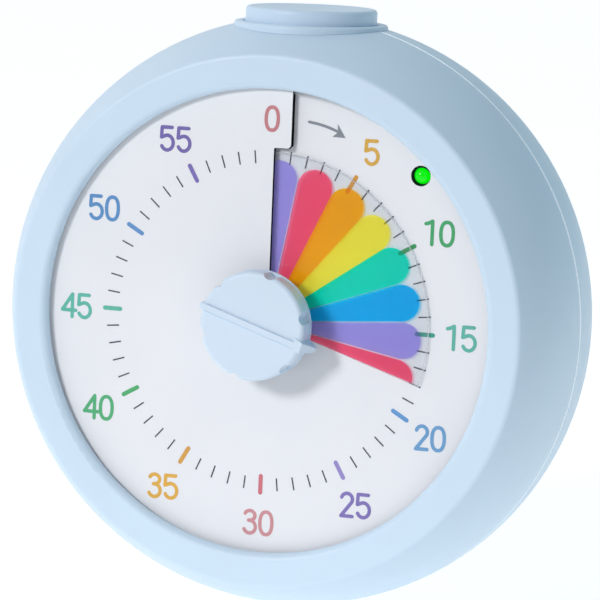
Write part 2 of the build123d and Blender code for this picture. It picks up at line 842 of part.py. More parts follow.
# ---------------------------------------------------------------- gear train
def spur_gear(teeth, turn=0.0):
    """Outline of a spur gear with involute flanks, one tooth along +X before the turn in degrees."""
    pitch_radius = gear_module * teeth / 2
    base_radius = pitch_radius * math.cos(math.radians(pressure_angle))
    tip_radius = pitch_radius + gear_addendum * gear_module
    root_radius = pitch_radius - gear_dedendum * gear_module

    def involute(radius):
        lean = math.acos(min(1.0, base_radius / radius))
        return math.tan(lean) - lean

    half_pitch_tooth = math.pi / (2 * teeth) - gear_backlash / (4 * pitch_radius) + involute(pitch_radius)
    flank_start = max(base_radius, root_radius)
    flank = [(root_radius, half_pitch_tooth - involute(flank_start))]
    for radius in (1.001 * flank_start, pitch_radius, tip_radius):
        flank.append((radius, half_pitch_tooth - involute(radius)))
    points = []
    for k in range(teeth):
        middle = 2 * math.pi * k / teeth + math.radians(turn)
        points += [(r * math.cos(middle - a), r * math.sin(middle - a)) for r, a in flank]
        points += [(r * math.cos(middle + a), r * math.sin(middle + a)) for r, a in reversed(flank)]
    with BuildSketch() as outline:
        with BuildLine():
            Polyline(*points, close=True)
        make_face()
    return outline.sketch


output_outline = spur_gear(output_teeth)
idler_pinion_outline = spur_gear(idler_pinion_teeth, 180 / idler_pinion_teeth)
idler_outline = spur_gear(idler_teeth)
motor_pinion_outline = spur_gear(motor_pinion_teeth)

with BuildPart() as output_gear:
    with BuildSketch(facing(output_gear_y + output_gear_width)):
        add(output_outline)
        Circle(spindle_radius + running_gap, mode=Mode.SUBTRACT)
        with PolarLocations(gear_window_circle, gear_windows):
            Circle(gear_window_radius, mode=Mode.SUBTRACT)
    extrude(amount=output_gear_width)
save(output_gear, "output_gear")

with BuildPart() as clutch_washer:
    with BuildSketch(facing(clip_y)):
        Circle(clutch_radius)
        Circle(spindle_radius + screw_clearance, mode=Mode.SUBTRACT)
        with PolarLocations(clutch_radius, clutch_slots, 90):
            Rectangle(clutch_radius / 2, clutch_slot_width, mode=Mode.SUBTRACT)
    extrude(amount=clutch_thickness)
save(clutch_washer, "clutch_washer")

with BuildPart() as retaining_clip:
    with BuildSketch(facing(clip_y + clip_thickness)):
        Circle(clip_radius)
        Circle(clip_groove_radius + running_gap, mode=Mode.SUBTRACT)
        with Locations((0, -clip_radius / 2)):
            Rectangle(clip_opening, clip_radius, mode=Mode.SUBTRACT)
    extrude(amount=clip_thickness)
save(retaining_clip, "retaining_clip")

idler_rear_y = idler_gear_y + idler_gear_width
idler_front_y = output_gear_y - pinion_overhang

with BuildPart() as idler_gear:
    with BuildSketch(facing(idler_rear_y)):
        with Locations(idler_at):
            add(idler_outline)
    extrude(amount=idler_gear_width)
    with BuildSketch(facing(idler_gear_y)):
        with Locations(idler_at):
            add(idler_pinion_outline)
    extrude(amount=idler_gear_y - idler_front_y)
    with BuildSketch(facing(idler_rear_y)):
        with Locations(idler_at):
            Circle(idler_shaft_radius + running_gap)
    extrude(amount=idler_rear_y - idler_front_y, mode=Mode.SUBTRACT)
save(idler_gear, "idler_gear")

movement_plate_y = movement_front_y + movement_wall
cover_front_y = movement_rear_y - movement_wall

with BuildPart() as idler_shaft:
    with BuildSketch(facing(cover_front_y + idler_socket)):
        with Locations(idler_at):
            Circle(idler_shaft_radius)
    extrude(amount=cover_front_y + 2 * idler_socket - movement_plate_y)
save(idler_shaft, "idler_shaft")

with BuildPart() as motor_pinion:
    with BuildSketch(facing(idler_rear_y + pinion_overhang)):
        with Locations(motor_at):
            add(motor_pinion_outline)
            Circle(motor_shaft_radius + screw_bite, mode=Mode.SUBTRACT)
    extrude(amount=idler_gear_width + 2 * pinion_overhang)
save(motor_pinion, "motor_pinion")

with BuildPart() as motor_shaft:
    with BuildSketch(facing(movement_rear_y + motor_shaft_socket - screw_clearance)):
        with Locations(motor_at):
            Circle(motor_shaft_radius)
    extrude(amount=movement_rear_y + motor_shaft_socket - idler_gear_y + pinion_overhang)
save(motor_shaft, "motor_shaft")

with BuildPart() as motor:
    with BuildSketch(facing(movement_rear_y + motor_length)):
        with Locations(motor_at):
            Circle(motor_radius)
    extrude(amount=motor_length)
    fillet(motor.faces().sort_by(Axis.Y)[-1].edges(), motor_fillet)
    with BuildSketch(facing(movement_rear_y + motor_shaft_socket)):
        with Locations(motor_at):
            Circle(motor_shaft_radius + running_gap)
    extrude(amount=motor_shaft_socket, mode=Mode.SUBTRACT)
save(motor, "motor")

movement_middle = ((movement_left + movement_right) / 2, (movement_top + movement_bottom) / 2)
movement_size = (movement_right - movement_left, movement_top - movement_bottom)
movement_room = [side - 2 * movement_wall for side in movement_size]

with BuildPart() as movement_base:
    with BuildSketch(facing(cover_front_y)):
        with Locations(movement_middle):
            RectangleRounded(*movement_size, movement_corner)
    extrude(amount=cover_front_y - movement_front_y)
    with BuildSketch(facing(cover_front_y)):
        with Locations(movement_middle):
            RectangleRounded(*movement_room, movement_corner - movement_wall)
        with Locations(*movement_screws_at):
            Circle(movement_post_radius, mode=Mode.SUBTRACT)
    extrude(amount=cover_front_y - movement_plate_y, mode=Mode.SUBTRACT)
    with BuildSketch(facing(cover_front_y)):
        with Locations(*movement_screws_at):
            Circle(small_screw_radius + screw_clearance)
    extrude(amount=cover_front_y - movement_front_y, mode=Mode.SUBTRACT)
    with BuildSketch(facing(movement_plate_y)):
        Circle(frame_hub_radius + screw_clearance)
    extrude(amount=movement_wall, mode=Mode.SUBTRACT)
    with BuildSketch(facing(movement_plate_y)):
        with Locations(idler_at):
            Circle(idler_shaft_radius + screw_bite)
    extrude(amount=idler_socket + screw_bite, mode=Mode.SUBTRACT)
save(movement_base, "movement_base")

with BuildPart() as movement_cover:
    with BuildSketch(facing(movement_rear_y)):
        with Locations(movement_middle):
            RectangleRounded(*movement_size, movement_corner)
        with Locations(*movement_screws_at):
            Circle(small_screw_radius + screw_clearance, mode=Mode.SUBTRACT)
        Circle(spindle_radius + running_gap, mode=Mode.SUBTRACT)
        with Locations(motor_at):
            Circle(motor_shaft_radius + 2 * screw_clearance, mode=Mode.SUBTRACT)
    extrude(amount=movement_wall)
    with BuildSketch(facing(cover_front_y + idler_socket + screw_bite)):
        with Locations(idler_at):
            Circle(idler_shaft_radius + screw_bite)
    extrude(amount=idler_socket + screw_bite, mode=Mode.SUBTRACT)
save(movement_cover, "movement_cover")
movement_screw_length = movement_rear_y - frame_front_y - screw_clearance
movement_screws = screws(movement_screws_at, movement_rear_y, small_screw_radius, movement_screw_length)
save(movement_screws, "movement_screws")

# ---------------------------------------------------------------- circuit board and what it carries
led_x, led_z = clock(led_angle, led_circle)
leg_places = [(led_x + side * led_leg_spacing / 2, led_z) for side in (-1, 1)]
switch_rear_y = board_rear_y + switch_depth

with BuildPart() as circuit_board:
    with BuildSketch(facing(board_rear_y)) as board_outline:
        with BuildLine():
            Polyline(
                (board_left, board_bottom),
                (board_right, board_bottom),
                (board_right, board_top - board_chamfer),
                (board_right - board_chamfer, board_top),
                (board_left + board_chamfer, board_top),
                (board_left, board_top - board_chamfer),
                close=True,
            )
        make_face()
        with Locations(*board_screws_at):
            Circle(small_screw_radius + screw_clearance, mode=Mode.SUBTRACT)
        with Locations(*leg_places):
            Rectangle(led_leg + 2 * led_leg_gap, led_leg + 2 * led_leg_gap, mode=Mode.SUBTRACT)
    extrude(amount=board_thickness)
save(circuit_board, "circuit_board")
board_screws = screws(board_screws_at, board_rear_y, small_screw_radius, board_screw_length)
save(board_screws, "board_screws")

with BuildPart() as led_holder:
    with BuildSketch(facing(board_y)):
        with Locations((led_x, led_z)):
            Circle(led_holder_radius)
        with Locations(*leg_places):
            Rectangle(led_leg + 2 * led_leg_gap, led_leg + 2 * led_leg_gap, mode=Mode.SUBTRACT)
    extrude(amount=board_y - led_holder_front_y)
save(led_holder, "led_holder")

with BuildPart() as led_legs:
    with BuildSketch(facing(board_rear_y + led_leg_end)):
        with Locations(*leg_places):
            Rectangle(led_leg, led_leg)
    extrude(amount=board_rear_y + led_leg_end - led_holder_front_y)
save(led_legs, "led_legs")

led_tip_y = dial_front(led_angle) - led_rise
led_dome = Sphere(led_radius).moved(Location((led_x, led_tip_y + led_radius, axis_z + led_z)))

with BuildPart() as led_lens:
    with BuildSketch(facing(led_holder_front_y)):
        with Locations((led_x, led_z)):
            Circle(led_flange_radius)
    extrude(amount=led_flange)
    with BuildSketch(facing(led_holder_front_y)):
        with Locations((led_x, led_z)):
            Circle(led_radius)
    extrude(amount=led_holder_front_y - led_tip_y - led_radius)
    add(led_dome)
save(led_lens, "led_lens")

with BuildPart() as buzzer:
    with BuildSketch(facing(board_rear_y + buzzer_height)):
        with Locations((buzzer_x, buzzer_z)):
            Circle(buzzer_radius)
    extrude(amount=buzzer_height)
    with BuildSketch(facing(board_rear_y + buzzer_height)):
        with Locations((buzzer_x, buzzer_z)):
            Circle(buzzer_port_radius)
    extrude(amount=buzzer_height / 4, mode=Mode.SUBTRACT)
save(buzzer, "buzzer")

with BuildPart() as control_chip:
    with BuildSketch(facing(board_rear_y + chip_thickness)):
        with Locations((chip_x, chip_z)):
            Rectangle(chip_width, chip_height)
    extrude(amount=chip_thickness)
    chamfer(control_chip.faces().sort_by(Axis.Y)[-1].edges(), chip_thickness / 5)
save(control_chip, "control_chip")

pin_top = chip_thickness / 2 + chip_pin_thickness / 2
pin_knee = chip_pin_reach / 3
pin_side = Plane(origin=(chip_x, board_rear_y, axis_z + chip_z), x_dir=(0, 0, 1), z_dir=(-1, 0, 0))

with BuildPart() as pin_row:
    for k in range(chip_pins):
        with BuildSketch(pin_side.offset((k - (chip_pins - 1) / 2) * chip_pin_pitch)):
            with BuildLine():
                Polyline(
                    (chip_height / 2 + screw_bite, pin_top),
                    (chip_height / 2 + pin_knee + chip_pin_thickness, pin_top),
                    (chip_height / 2 + pin_knee + chip_pin_thickness, chip_pin_thickness),
                    (chip_height / 2 + chip_pin_reach, chip_pin_thickness),
                    (chip_height / 2 + chip_pin_reach, 0),
                    (chip_height / 2 + pin_knee, 0),
                    (chip_height / 2 + pin_knee, pin_top - chip_pin_thickness),
                    (chip_height / 2 + screw_bite, pin_top - chip_pin_thickness),
                    close=True,
                )
            make_face()
        extrude(amount=chip_pin_width / 2, both=True)

with BuildPart() as control_chip_pins:
    add(pin_row.part)
    add(pin_row.part.mirror(Plane.XY.offset(axis_z + chip_z)))
save(control_chip_pins, "control_chip_pins")


with BuildPart() as tact_switch:
    with BuildSketch(Plane.XY.offset(axis_z + switch_top)):
        with Locations((0, (board_rear_y + switch_rear_y) / 2)):
            Rectangle(switch_width, switch_depth)
    extrude(amount=-switch_height)
    with BuildSketch(Plane.XY.offset(axis_z + switch_top)):
        Circle(plunger_radius + running_gap)
    extrude(amount=-plunger_bore, mode=Mode.SUBTRACT)
save(tact_switch, "tact_switch")

with BuildPart() as switch_plunger:
    with BuildSketch(Plane.XY.offset(axis_z + stem_end)):
        Circle(plunger_radius)
    extrude(amount=-plunger_length)
save(switch_plunger, "switch_plunger")

# ---------------------------------------------------------------- top button
collar_ceiling = axis_z + collar_top
stem_head_top = axis_z + collar_floor - running_gap
saddle = barrel(-saddle_gap, -1.2 * collar_radius, 1.2 * collar_radius)

with BuildPart() as collar_flange:
    with BuildSketch(Plane.XY.offset(collar_ceiling)):
        Circle(collar_radius)
    extrude(amount=collar_floor - collar_top)
    fillet(collar_flange.faces().sort_by(Axis.Z)[-1].edges(), collar_fillet)
    add(saddle, mode=Mode.SUBTRACT)

with BuildPart() as collar_tube:
    with BuildSketch(Plane.XY.offset(collar_ceiling)):
        Circle(collar_tube_radius)
        Circle(button_radius + collar_gap, mode=Mode.SUBTRACT)
    extrude(amount=collar_floor - collar_top)
    with BuildSketch(Plane.XY.offset(axis_z + collar_floor)):
        Circle(button_radius + collar_gap)
        Circle(stem_radius + stem_gap, mode=Mode.SUBTRACT)
    extrude(amount=collar_floor_thickness)

with BuildPart() as button_collar:
    add(collar_flange.part)
    with BuildSketch(Plane.XY.offset(collar_ceiling)):
        Circle(collar_tube_radius)
    extrude(amount=collar_floor - collar_top, mode=Mode.SUBTRACT)
    add(collar_tube.part)
    top_rings = button_collar.edges().filter_by(GeomType.CIRCLE).group_by(Axis.Z)[-1]
    fillet(top_rings.sort_by(SortBy.RADIUS)[0], collar_fillet)
save(button_collar, "button_collar")

button_top_z = axis_z + button_top
button_roof_z = button_top_z - button_roof
dish_radius = (button_dish_radius**2 + button_dish_depth**2) / (2 * button_dish_depth)
dish = Sphere(dish_radius).moved(Location((0, 0, button_top_z + dish_radius - button_dish_depth)))

with BuildPart() as button_cap:
    with BuildSketch(Plane.XY.offset(button_top_z)):
        Circle(button_radius)
    extrude(amount=-button_skirt)
    fillet(button_cap.faces().sort_by(Axis.Z)[-1].edges(), button_fillet)
    with BuildSketch(Plane.XY.offset(button_roof_z)):
        Circle(button_radius - button_wall)
    extrude(amount=button_top_z - button_skirt - button_roof_z, mode=Mode.SUBTRACT)
    with BuildSketch(Plane.XY.offset(button_roof_z)):
        Circle(stem_radius)
    extrude(amount=axis_z + stem_end - button_roof_z)
    with BuildSketch(Plane.XY.offset(stem_head_top)):
        Circle(stem_head_radius)
    extrude(amount=-stem_head_thickness)
    add(dish, mode=Mode.SUBTRACT)
save(button_cap, "button_cap")

spring_floor_z = axis_z + collar_floor + collar_floor_thickness + spring_wire / 2 + saddle_gap
spring_height = button_roof_z - spring_wire / 2 - saddle_gap - spring_floor_z

with BuildPart() as button_spring:
    with BuildLine() as coil:
        Helix(spring_height / spring_turns, spring_height, spring_radius, center=(0, 0, spring_floor_z))
    with BuildSketch(Plane(origin=coil.line @ 0, z_dir=coil.line % 0)):
        Rectangle(spring_wire, spring_wire)
    sweep(is_frenet=True)
save(button_spring, "button_spring")

# ---------------------------------------------------------------- batteries, contacts and door
with BuildPart() as battery_cells:
    for z, side in zip(cells_z, (1, -1)):
        total = cell_length + cell_nub
        cell_end = Plane(origin=(-side * total / 2, cell_y, z), x_dir=(0, 1, 0), z_dir=(side, 0, 0))
        with BuildSketch(cell_end):
            Circle(cell_radius)
        extrude(amount=cell_length)
        with BuildSketch(cell_end):
            Circle(cell_nub_radius)
        extrude(amount=total)
save(battery_cells, "battery_cells")

contact_x = bay_width / 2 - running_gap - contact_thickness
dimple_length = contact_x - (cell_length + cell_nub) / 2 - running_gap


def contact(side, z_low, z_high):
    """A flat contact against the bay's side wall, dimpled at each cell; side is -1 left, 1 right."""
    face = Plane(origin=(side * contact_x, cell_y, 0), x_dir=(0, 1, 0), z_dir=(side, 0, 0))
    with BuildPart() as strip:
        with BuildSketch(face):
            with Locations((0, side * (z_low + z_high) / 2)):
                Rectangle(contact_width, z_high - z_low)
        extrude(amount=contact_thickness)
        with BuildSketch(face):
            with Locations(*[(0, side * z) for z in cells_z if z_low < z < z_high]):
                Circle(contact_dimple)
        extrude(amount=-dimple_length)
    return strip.part


bridge = contact(-1, cells_z[1] - contact_width / 2, cells_z[0] + contact_width / 2)
terminals = [contact(1, z - contact_width / 2, z + contact_width / 2) for z in cells_z]

with BuildPart() as contact_bridge:
    add(bridge)
save(contact_bridge, "contact_bridge")

with BuildPart() as contact_terminals:
    for terminal in terminals:
        add(terminal)
    # solder tabs that come out through the bay's wall
    with BuildSketch(Plane.YZ.offset(contact_x)):
        for y, z in zip(tabs_y, cells_z):
            with Locations((y, z)):
                Rectangle(tab_width, contact_thickness)
    extrude(amount=bay_width / 2 + bay_wall + tab_reach - contact_x)
save(contact_terminals, "contact_terminals")

hook_face_y = door_y - hook_drop
hook_root_z = bay_top - 1.5 * hook_thickness
hook_tip_z = bay_z + door_height / 2 - door_gap + hook_reach

with BuildPart() as battery_door:
    with BuildSketch(facing(rear_y)):
        with Locations((0, bay_z)):
            RectangleRounded(door_width - 2 * door_gap, door_height - 2 * door_gap, door_corner - door_gap)
    extrude(amount=door_thickness - saddle_gap)
    with BuildSketch(facing(door_y + saddle_gap)):
        with Locations((0, bay_top - hook_thickness)):
            with GridLocations(hook_spacing, 0, 2, 1):
                Rectangle(hook_width, hook_thickness)
    extrude(amount=hook_drop + hook_thickness + saddle_gap)
    with BuildSketch(facing(hook_face_y)):
        with Locations((0, (hook_root_z + hook_tip_z) / 2)):
            with GridLocations(hook_spacing, 0, 2, 1):
                Rectangle(hook_width, hook_tip_z - hook_root_z)
    extrude(amount=hook_thickness)
save(battery_door, "battery_door")

# ---------------------------------------------------------------- volume switch
volume_body_y = rear_wall_y - running_gap
nub_rear_y = rear_y + volume_nub_proud
nub_front_y = volume_body_y - volume_body_depth / 2

with BuildPart() as volume_switch:
    with BuildSketch(facing(volume_body_y)):
        with Locations((volume_x, volume_z)):
            Rectangle(volume_body_width, volume_body_height)
    extrude(amount=volume_body_depth)
    with BuildSketch(facing(volume_body_y)):
        with Locations((volume_x, volume_z)):
            Rectangle(
                volume_nub_width + 2 * volume_travel + 2 * volume_slot_gap,
                volume_nub_height + 2 * volume_slot_gap,
            )
    extrude(amount=volume_body_y - nub_front_y + running_gap, mode=Mode.SUBTRACT)
save(volume_switch, "volume_switch")

with BuildPart() as volume_slider:
    with BuildSketch(facing(nub_rear_y)):
        with Locations((volume_x, volume_z)):
            Rectangle(volume_nub_width, volume_nub_height)
    extrude(amount=nub_rear_y - nub_front_y)
    fillet(volume_slider.faces().sort_by(Axis.Y)[-1].edges(), volume_slot_gap)
save(volume_slider, "volume_slider")
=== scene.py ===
import math

import bmesh
import bpy
import numpy as np
from mathutils import Matrix, Vector


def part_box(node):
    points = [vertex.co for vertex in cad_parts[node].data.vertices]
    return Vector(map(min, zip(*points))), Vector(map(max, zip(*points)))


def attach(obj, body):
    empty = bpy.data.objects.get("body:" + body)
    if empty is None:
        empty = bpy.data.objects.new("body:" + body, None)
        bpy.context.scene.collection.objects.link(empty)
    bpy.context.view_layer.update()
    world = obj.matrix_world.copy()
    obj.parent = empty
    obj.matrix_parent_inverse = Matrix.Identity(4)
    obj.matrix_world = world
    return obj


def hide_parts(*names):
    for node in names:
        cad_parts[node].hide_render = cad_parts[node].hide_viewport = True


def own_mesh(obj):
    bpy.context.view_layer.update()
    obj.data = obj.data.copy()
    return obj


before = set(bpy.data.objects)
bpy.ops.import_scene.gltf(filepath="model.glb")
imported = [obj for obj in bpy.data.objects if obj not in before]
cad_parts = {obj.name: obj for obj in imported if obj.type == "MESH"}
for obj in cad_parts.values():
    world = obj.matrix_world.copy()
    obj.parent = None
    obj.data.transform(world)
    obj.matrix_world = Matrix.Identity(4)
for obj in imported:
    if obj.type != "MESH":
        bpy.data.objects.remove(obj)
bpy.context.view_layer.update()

# A countdown timer's looks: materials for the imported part, the print on its dial and film, light and
# camera. Angles on the dial are clock degrees: 0 is up, and they grow clockwise as seen from the front.
MM = 0.001

# ---------------------------------------------------------------- sizes of the part, in mm
AXIS_Z = 48.8  # height of the dial's axis over the foot
DIAL_Y = -16.5  # mean plane of the helical dial's front
PITCH = 1.3  # rise of the dial and the film in one turn
SLIT_REACH = 29.05  # radius of the slit's step
SLIT_STEP_X = 3.3  # the slit's edge outside the step, right of the axis
SLIT_X = 0.35  # and inside the step
FILM_RADIUS = 28.3
FILM_THICKNESS = 0.2
FILM_GAP = 0.25  # between the dial's face and the film's back
FILM_LEADING = 108.0  # the film's two radial edges
FILM_TRAILING = -251.0
HUB_RADIUS = 4.6
DIAL_CENTRE = Vector((0.0, DIAL_Y, AXIS_Z)) * MM

# Seam between the shells
SEAM_Y = -1.8
SEAM_EDGE = 0.14  # width of the rear cover's edge that gets a painted highlight
SEAM_INSIDE = 49.45  # radius where it starts
SEAM_PAINTED_HIGHLIGHT = 0.22  # strength of the glow in that painted highlight

# Return spring of the button
SPRING_RADIUS, SPRING_WIRE, SPRING_TURNS = 4.2, 0.5, 5
SPRING_SLOW = 0.081  # closes the coils at both ends
SPRING_AROUND, SPRING_SIDES = 56, 10  # facets in a turn and round the wire

# Status light
LED_LIT = 1.05  # depth of the lit dome
LED_FADE = 0.2  # further depth in which painted shade turns it dark
LED_LEAN = 0.28  # depth that is added for each mm over the lamp's middle, so that the painted shade makes its top darker
LED_GLOW = 0.93

# Printing on the dial
MINUTE = 6  # degrees
INK_LIFT = 0.04  # face of the ink over the dial
INK_SINK = 0.03  # its back in the dial
INK_OVERPRINT = 0.01  # height of a second print over the first
TICK_INNER, TICK_OUTER, TICK_WIDTH = 26.4, 28.55, 0.22
BIG_INNER, BIG_OUTER, BIG_WIDTH = 25.75, 29.25, 0.72
BIG_END_STEPS = 8  # along the round end of a big tick
NUMERAL_RADIUS = 33.92
NUMERAL_SHIFT = (-0.17, -0.1)  # the ring of numerals sits a little low and left of the axis
NUMERAL_NUDGE = {5: 0.2, 35: -0.25}  # small sideways errors of the print
NUMERAL_HEIGHT = 3.82  # between the middles of the strokes
NUMERAL_STROKE = 0.6
ARC_STEP = 7  # degrees between the points of a numeral's round stroke, about
FIELD_CELL = 0.1  # grid in which strokes are filled
ARROW_RADIUS, ARROW_BOW, ARROW_STROKE = 34.1, 0.09, 0.46
ARROW_START, ARROW_STEP, ARROW_STEPS = 9.9, 0.9, 10
ARROW_HEAD = [(33.68, 21.45), (32.97, 17.7), (34.02, 18.8), (35.28, 17.95)]  # radius and angle

# Dark lip of the slit: a black piece of painted shade in the gap under the raised end
LIP_TOP, LIP_FOOT = 38.0, 6.0  # heights over the axis where it starts and ends
LIP_PROUD, LIP_DEEP = 0.012, 0.12  # outside the sheet's cut edge and under the sheet
LIP_FRONT = 0.03  # behind the dial's face
LIP_OVER_FILM, LIP_OVER_DIAL = 0.7, 1.24  # its depth where the film passes and where it doesn't
LIP_CHANGE = 0.4  # outside the step's radius, where the depth changes
LIP_STEP_X = (2.0, 1.3)  # points on the step between its two corners
LIP_SIDE_STEPS = 12  # along the edge inside the step
OUTER_CORNER, INNER_CORNER = 0.7, 0.3  # radii

# Petals on the film
PETALS = 24
PETAL_ANGLE = 360 / PETALS
PETAL_HALF = PETAL_ANGLE / 2
PETAL_ROOT = HUB_RADIUS + 0.3
PETAL_TIP_CENTRE = 23.87
PETAL_TIP_RADIUS = PETAL_TIP_CENTRE * math.sin(math.radians(PETAL_HALF))
PETAL_STEPS = 28  # across a petal
PETAL_CUT = 3.0  # where a half petal starts, in degrees round its tip
PETAL_GAP = 0.1  # bare film on a side of a petal, where there is any
PETAL_LIFT = 0.03
DYE_BODY = 1.22  # brightness of the dye itself, against its ink's colour
DYE_PAINTED_GLOW = 1.6  # glow of the dye in its own colour: painted light that brightens it
DYE_GAIN, DYE_LOSS = 1.3, 0.025  # two passes leave the ink's colour times the gain, less the loss

# Edges of the film
GREY_START, GREY_FULL = 21.0, 27.0  # radii between which the clear film turns greyer
RIM_WIDTH = 0.22
RIM_LINE = 0.035  # thin grey line of painted shade on both sides of the rim
RIM_LIFT = 0.015
RIM_STEPS = 240
EDGE_ROOT = HUB_RADIUS + 0.4
EDGE_WIDTH = 0.16
EDGE_STEPS = 12
EDGE_SHOULDER = 0.7  # share of an edge's width where it is highest, and of that height at its border

# Inside the case
CELL_SLEEVE = 0.462  # half the sleeve's length, as a share of the cells' length
CELL_BAND = 0.3  # how far from the middle the paler bands start, as the same share
TRACK_SCALE = 420.0  # patches of the board's tracks in a metre
TRACK_START = 0.62  # distance from a patch's middle where they begin

# Depths of the surfaces' grain, in metres
GRAIN_COARSE, GRAIN_MEDIUM, GRAIN_FINE = 0.00006, 0.00004, 0.00003
FILM_WAVE = 0.0001


# ---------------------------------------------------------------- places
def dial_front(angle):
    return DIAL_Y + PITCH / 2 - PITCH * angle / 360


def film_front(angle):
    return dial_front(angle) - FILM_GAP - FILM_THICKNESS


def sheet_angle(x, z):
    """Angle on the dial's one turn, counted on past 360 left of the slit's step."""
    angle = math.degrees(math.atan2(x, z))
    if angle < 0:
        return angle + 360
    if z > 0 and math.hypot(x, z) > SLIT_REACH and x < SLIT_STEP_X:
        return angle + 360
    return angle


def polar(radius, angle):
    a = math.radians(angle)
    return radius * math.sin(a), radius * math.cos(a)


def on_dial(x, z, lift):
    return Vector((x, dial_front(sheet_angle(x, z)) - lift, AXIS_Z + z)) * MM


def on_film(radius, angle, lift):
    x, z = polar(radius, angle)
    return Vector((x, film_front(angle) - lift, AXIS_Z + z)) * MM


# ---------------------------------------------------------------- materials
def srgb(red, green, blue):
    def linear(v):
        v /= 255
        return v / 12.92 if v <= 0.04045 else ((v + 0.055) / 1.055) ** 2.4
    return (linear(red), linear(green), linear(blue), 1.0)


def shade(colour, factor):
    return tuple(min(1.0, c * factor) for c in colour[:3]) + (1.0,)


class Graph:
    """The node tree of a material or a world, built one node a call."""

    def __init__(self, owner, output="ShaderNodeOutputMaterial"):
        owner.use_nodes = True
        self.owner = owner
        self.tree = owner.node_tree
        self.tree.nodes.clear()
        self.output = self.tree.nodes.new(output)

    def feed(self, socket, value):
        """Link another node's output to a socket, or set the socket to a plain value."""
        if isinstance(value, bpy.types.NodeSocket):
            self.tree.links.new(value, socket)
        else:
            socket.default_value = value

    def add(self, kind, inputs=None, **settings):
        node = self.tree.nodes.new(kind)
        for key, value in settings.items():
            setattr(node, key, value)
        for key, value in (inputs or {}).items():
            self.feed(node.inputs[key], value)
        return node

    def coords(self, kind="Object"):
        return self.add("ShaderNodeTexCoord").outputs[kind]

    def component(self, axis, kind="Object"):
        """X, Y or Z of the shaded point, in metres, or of its normal."""
        return self.add("ShaderNodeSeparateXYZ", {"Vector": self.coords(kind)}).outputs[axis]

    def axis_radius(self):
        """Distance from the dial's axis, in metres; the same at every turn of the film."""
        across = self.math("POWER", self.component("X"), 2.0)
        height = self.math("SUBTRACT", self.component("Z"), AXIS_Z * MM)
        return self.math("SQRT", self.math("ADD", across, self.math("POWER", height, 2.0)))

    def math(self, operation, first, second=0.0):
        return self.add("ShaderNodeMath", {0: first, 1: second}, operation=operation).outputs[0]

    def noise(self, scale, detail, rough=0.55, vector=None):
        inputs = {"Vector": vector or self.coords(), "Scale": scale, "Detail": detail, "Roughness": rough}
        return self.add("ShaderNodeTexNoise", inputs).outputs["Fac"]

    def span(self, value, low, high, from_low=0.3, from_high=0.7):
        """A value's reach, by default that of a noise, spread over low to high."""
        inputs = {"Value": value, "From Min": from_low, "From Max": from_high, "To Min": low, "To Max": high}
        return self.add("ShaderNodeMapRange", inputs).outputs["Result"]

    def blend(self, factor, first, second):
        node = self.add("ShaderNodeMix", {"Factor": factor}, data_type="RGBA")
        for name, value in (("A", first), ("B", second)):
            self.feed([s for s in node.inputs if s.name == name and s.type == "RGBA"][0], value)
        return [s for s in node.outputs if s.type == "RGBA"][0]

    def mottle(self, noise, first, second):
        """Two colours, patched by a noise."""
        return self.blend(self.span(noise, 0.0, 1.0), first, second)

    def bump(self, height, strength, distance):
        inputs = {"Height": height, "Strength": strength, "Distance": distance}
        return self.add("ShaderNodeBump", inputs).outputs["Normal"]

    def fresnel(self, ior):
        return self.add("ShaderNodeFresnel", {"IOR": ior}).outputs[0]

    def principled(self, **inputs):
        names = {key.replace("_", " "): value for key, value in inputs.items()}
        return self.add("ShaderNodeBsdfPrincipled", names).outputs[0]

    def glossy(self, rough):
        white = (1.0, 1.0, 1.0, 1.0)
        return self.add("ShaderNodeBsdfGlossy", {"Color": white, "Roughness": rough}).outputs[0]

    def transparent(self, colour):
        return self.add("ShaderNodeBsdfTransparent", {"Color": colour}).outputs[0]

    def mix(self, factor, first, second):
        return self.add("ShaderNodeMixShader", {0: factor, 1: first, 2: second}).outputs[0]

    def finish(self, shader):
        self.tree.links.new(shader, self.output.inputs["Surface"])
        return self.owner


def material_graph(name):
    return Graph(bpy.data.materials.new(name))


def moulded(name, colour, rough, grain, mottle=0.02, soft=0.0, painted_seam_highlight=False):
    """Moulded plastic: a faint cloudiness of colour, a fine spark-eroded grain, uneven gloss.

    With the seam flag, the sharp edge that meets the front shell gets a painted highlight: a near-white
    colour and a faint glow.
    """
    g = material_graph(name)
    tone = g.mottle(g.noise(45, 4), shade(colour, 1 - mottle), shade(colour, 1 + mottle))
    inputs = {
        "Base_Color": tone,
        "Roughness": g.span(g.noise(320, 2), rough - 0.05, rough + 0.05),
        "Normal": g.bump(g.noise(2600, 2, 0.6), grain, GRAIN_COARSE),
        "IOR": 1.48,
    }
    if painted_seam_highlight:
        # painted highlight: the seam's edge is made near white and glows, as if it caught the light
        near = g.math("LESS_THAN", g.component("Y"), (SEAM_Y + SEAM_EDGE) * MM)
        outer = g.math("GREATER_THAN", g.axis_radius(), SEAM_INSIDE * MM)
        edge = g.math("MULTIPLY", near, outer)
        inputs["Base_Color"] = g.blend(edge, tone, srgb(246, 250, 252))
        inputs["Emission_Color"] = srgb(225, 238, 247)
        inputs["Emission_Strength"] = g.math("MULTIPLY", edge, SEAM_PAINTED_HIGHLIGHT)
    if soft:
        inputs["Subsurface_Weight"] = soft
        inputs["Subsurface_Radius"] = (0.004, 0.005, 0.006)
        inputs["Subsurface_Scale"] = 0.3
    return g.finish(g.principled(**inputs))


def metal(name, colour, rough, stretch):
    """Drawn or stamped metal: fine scratches along one axis, dull patches."""
    g = material_graph(name)
    mapped = g.add("ShaderNodeMapping", {"Vector": g.coords(), "Scale": stretch}).outputs[0]
    lines = g.noise(900, 3, 0.7, mapped)
    return g.finish(g.principled(
        Base_Color=g.mottle(g.noise(160, 3), shade(colour, 0.86), colour),
        Metallic=1.0,
        Roughness=g.span(lines, rough - 0.08, rough + 0.12),
        Normal=g.bump(lines, 0.12, GRAIN_FINE),
    ))


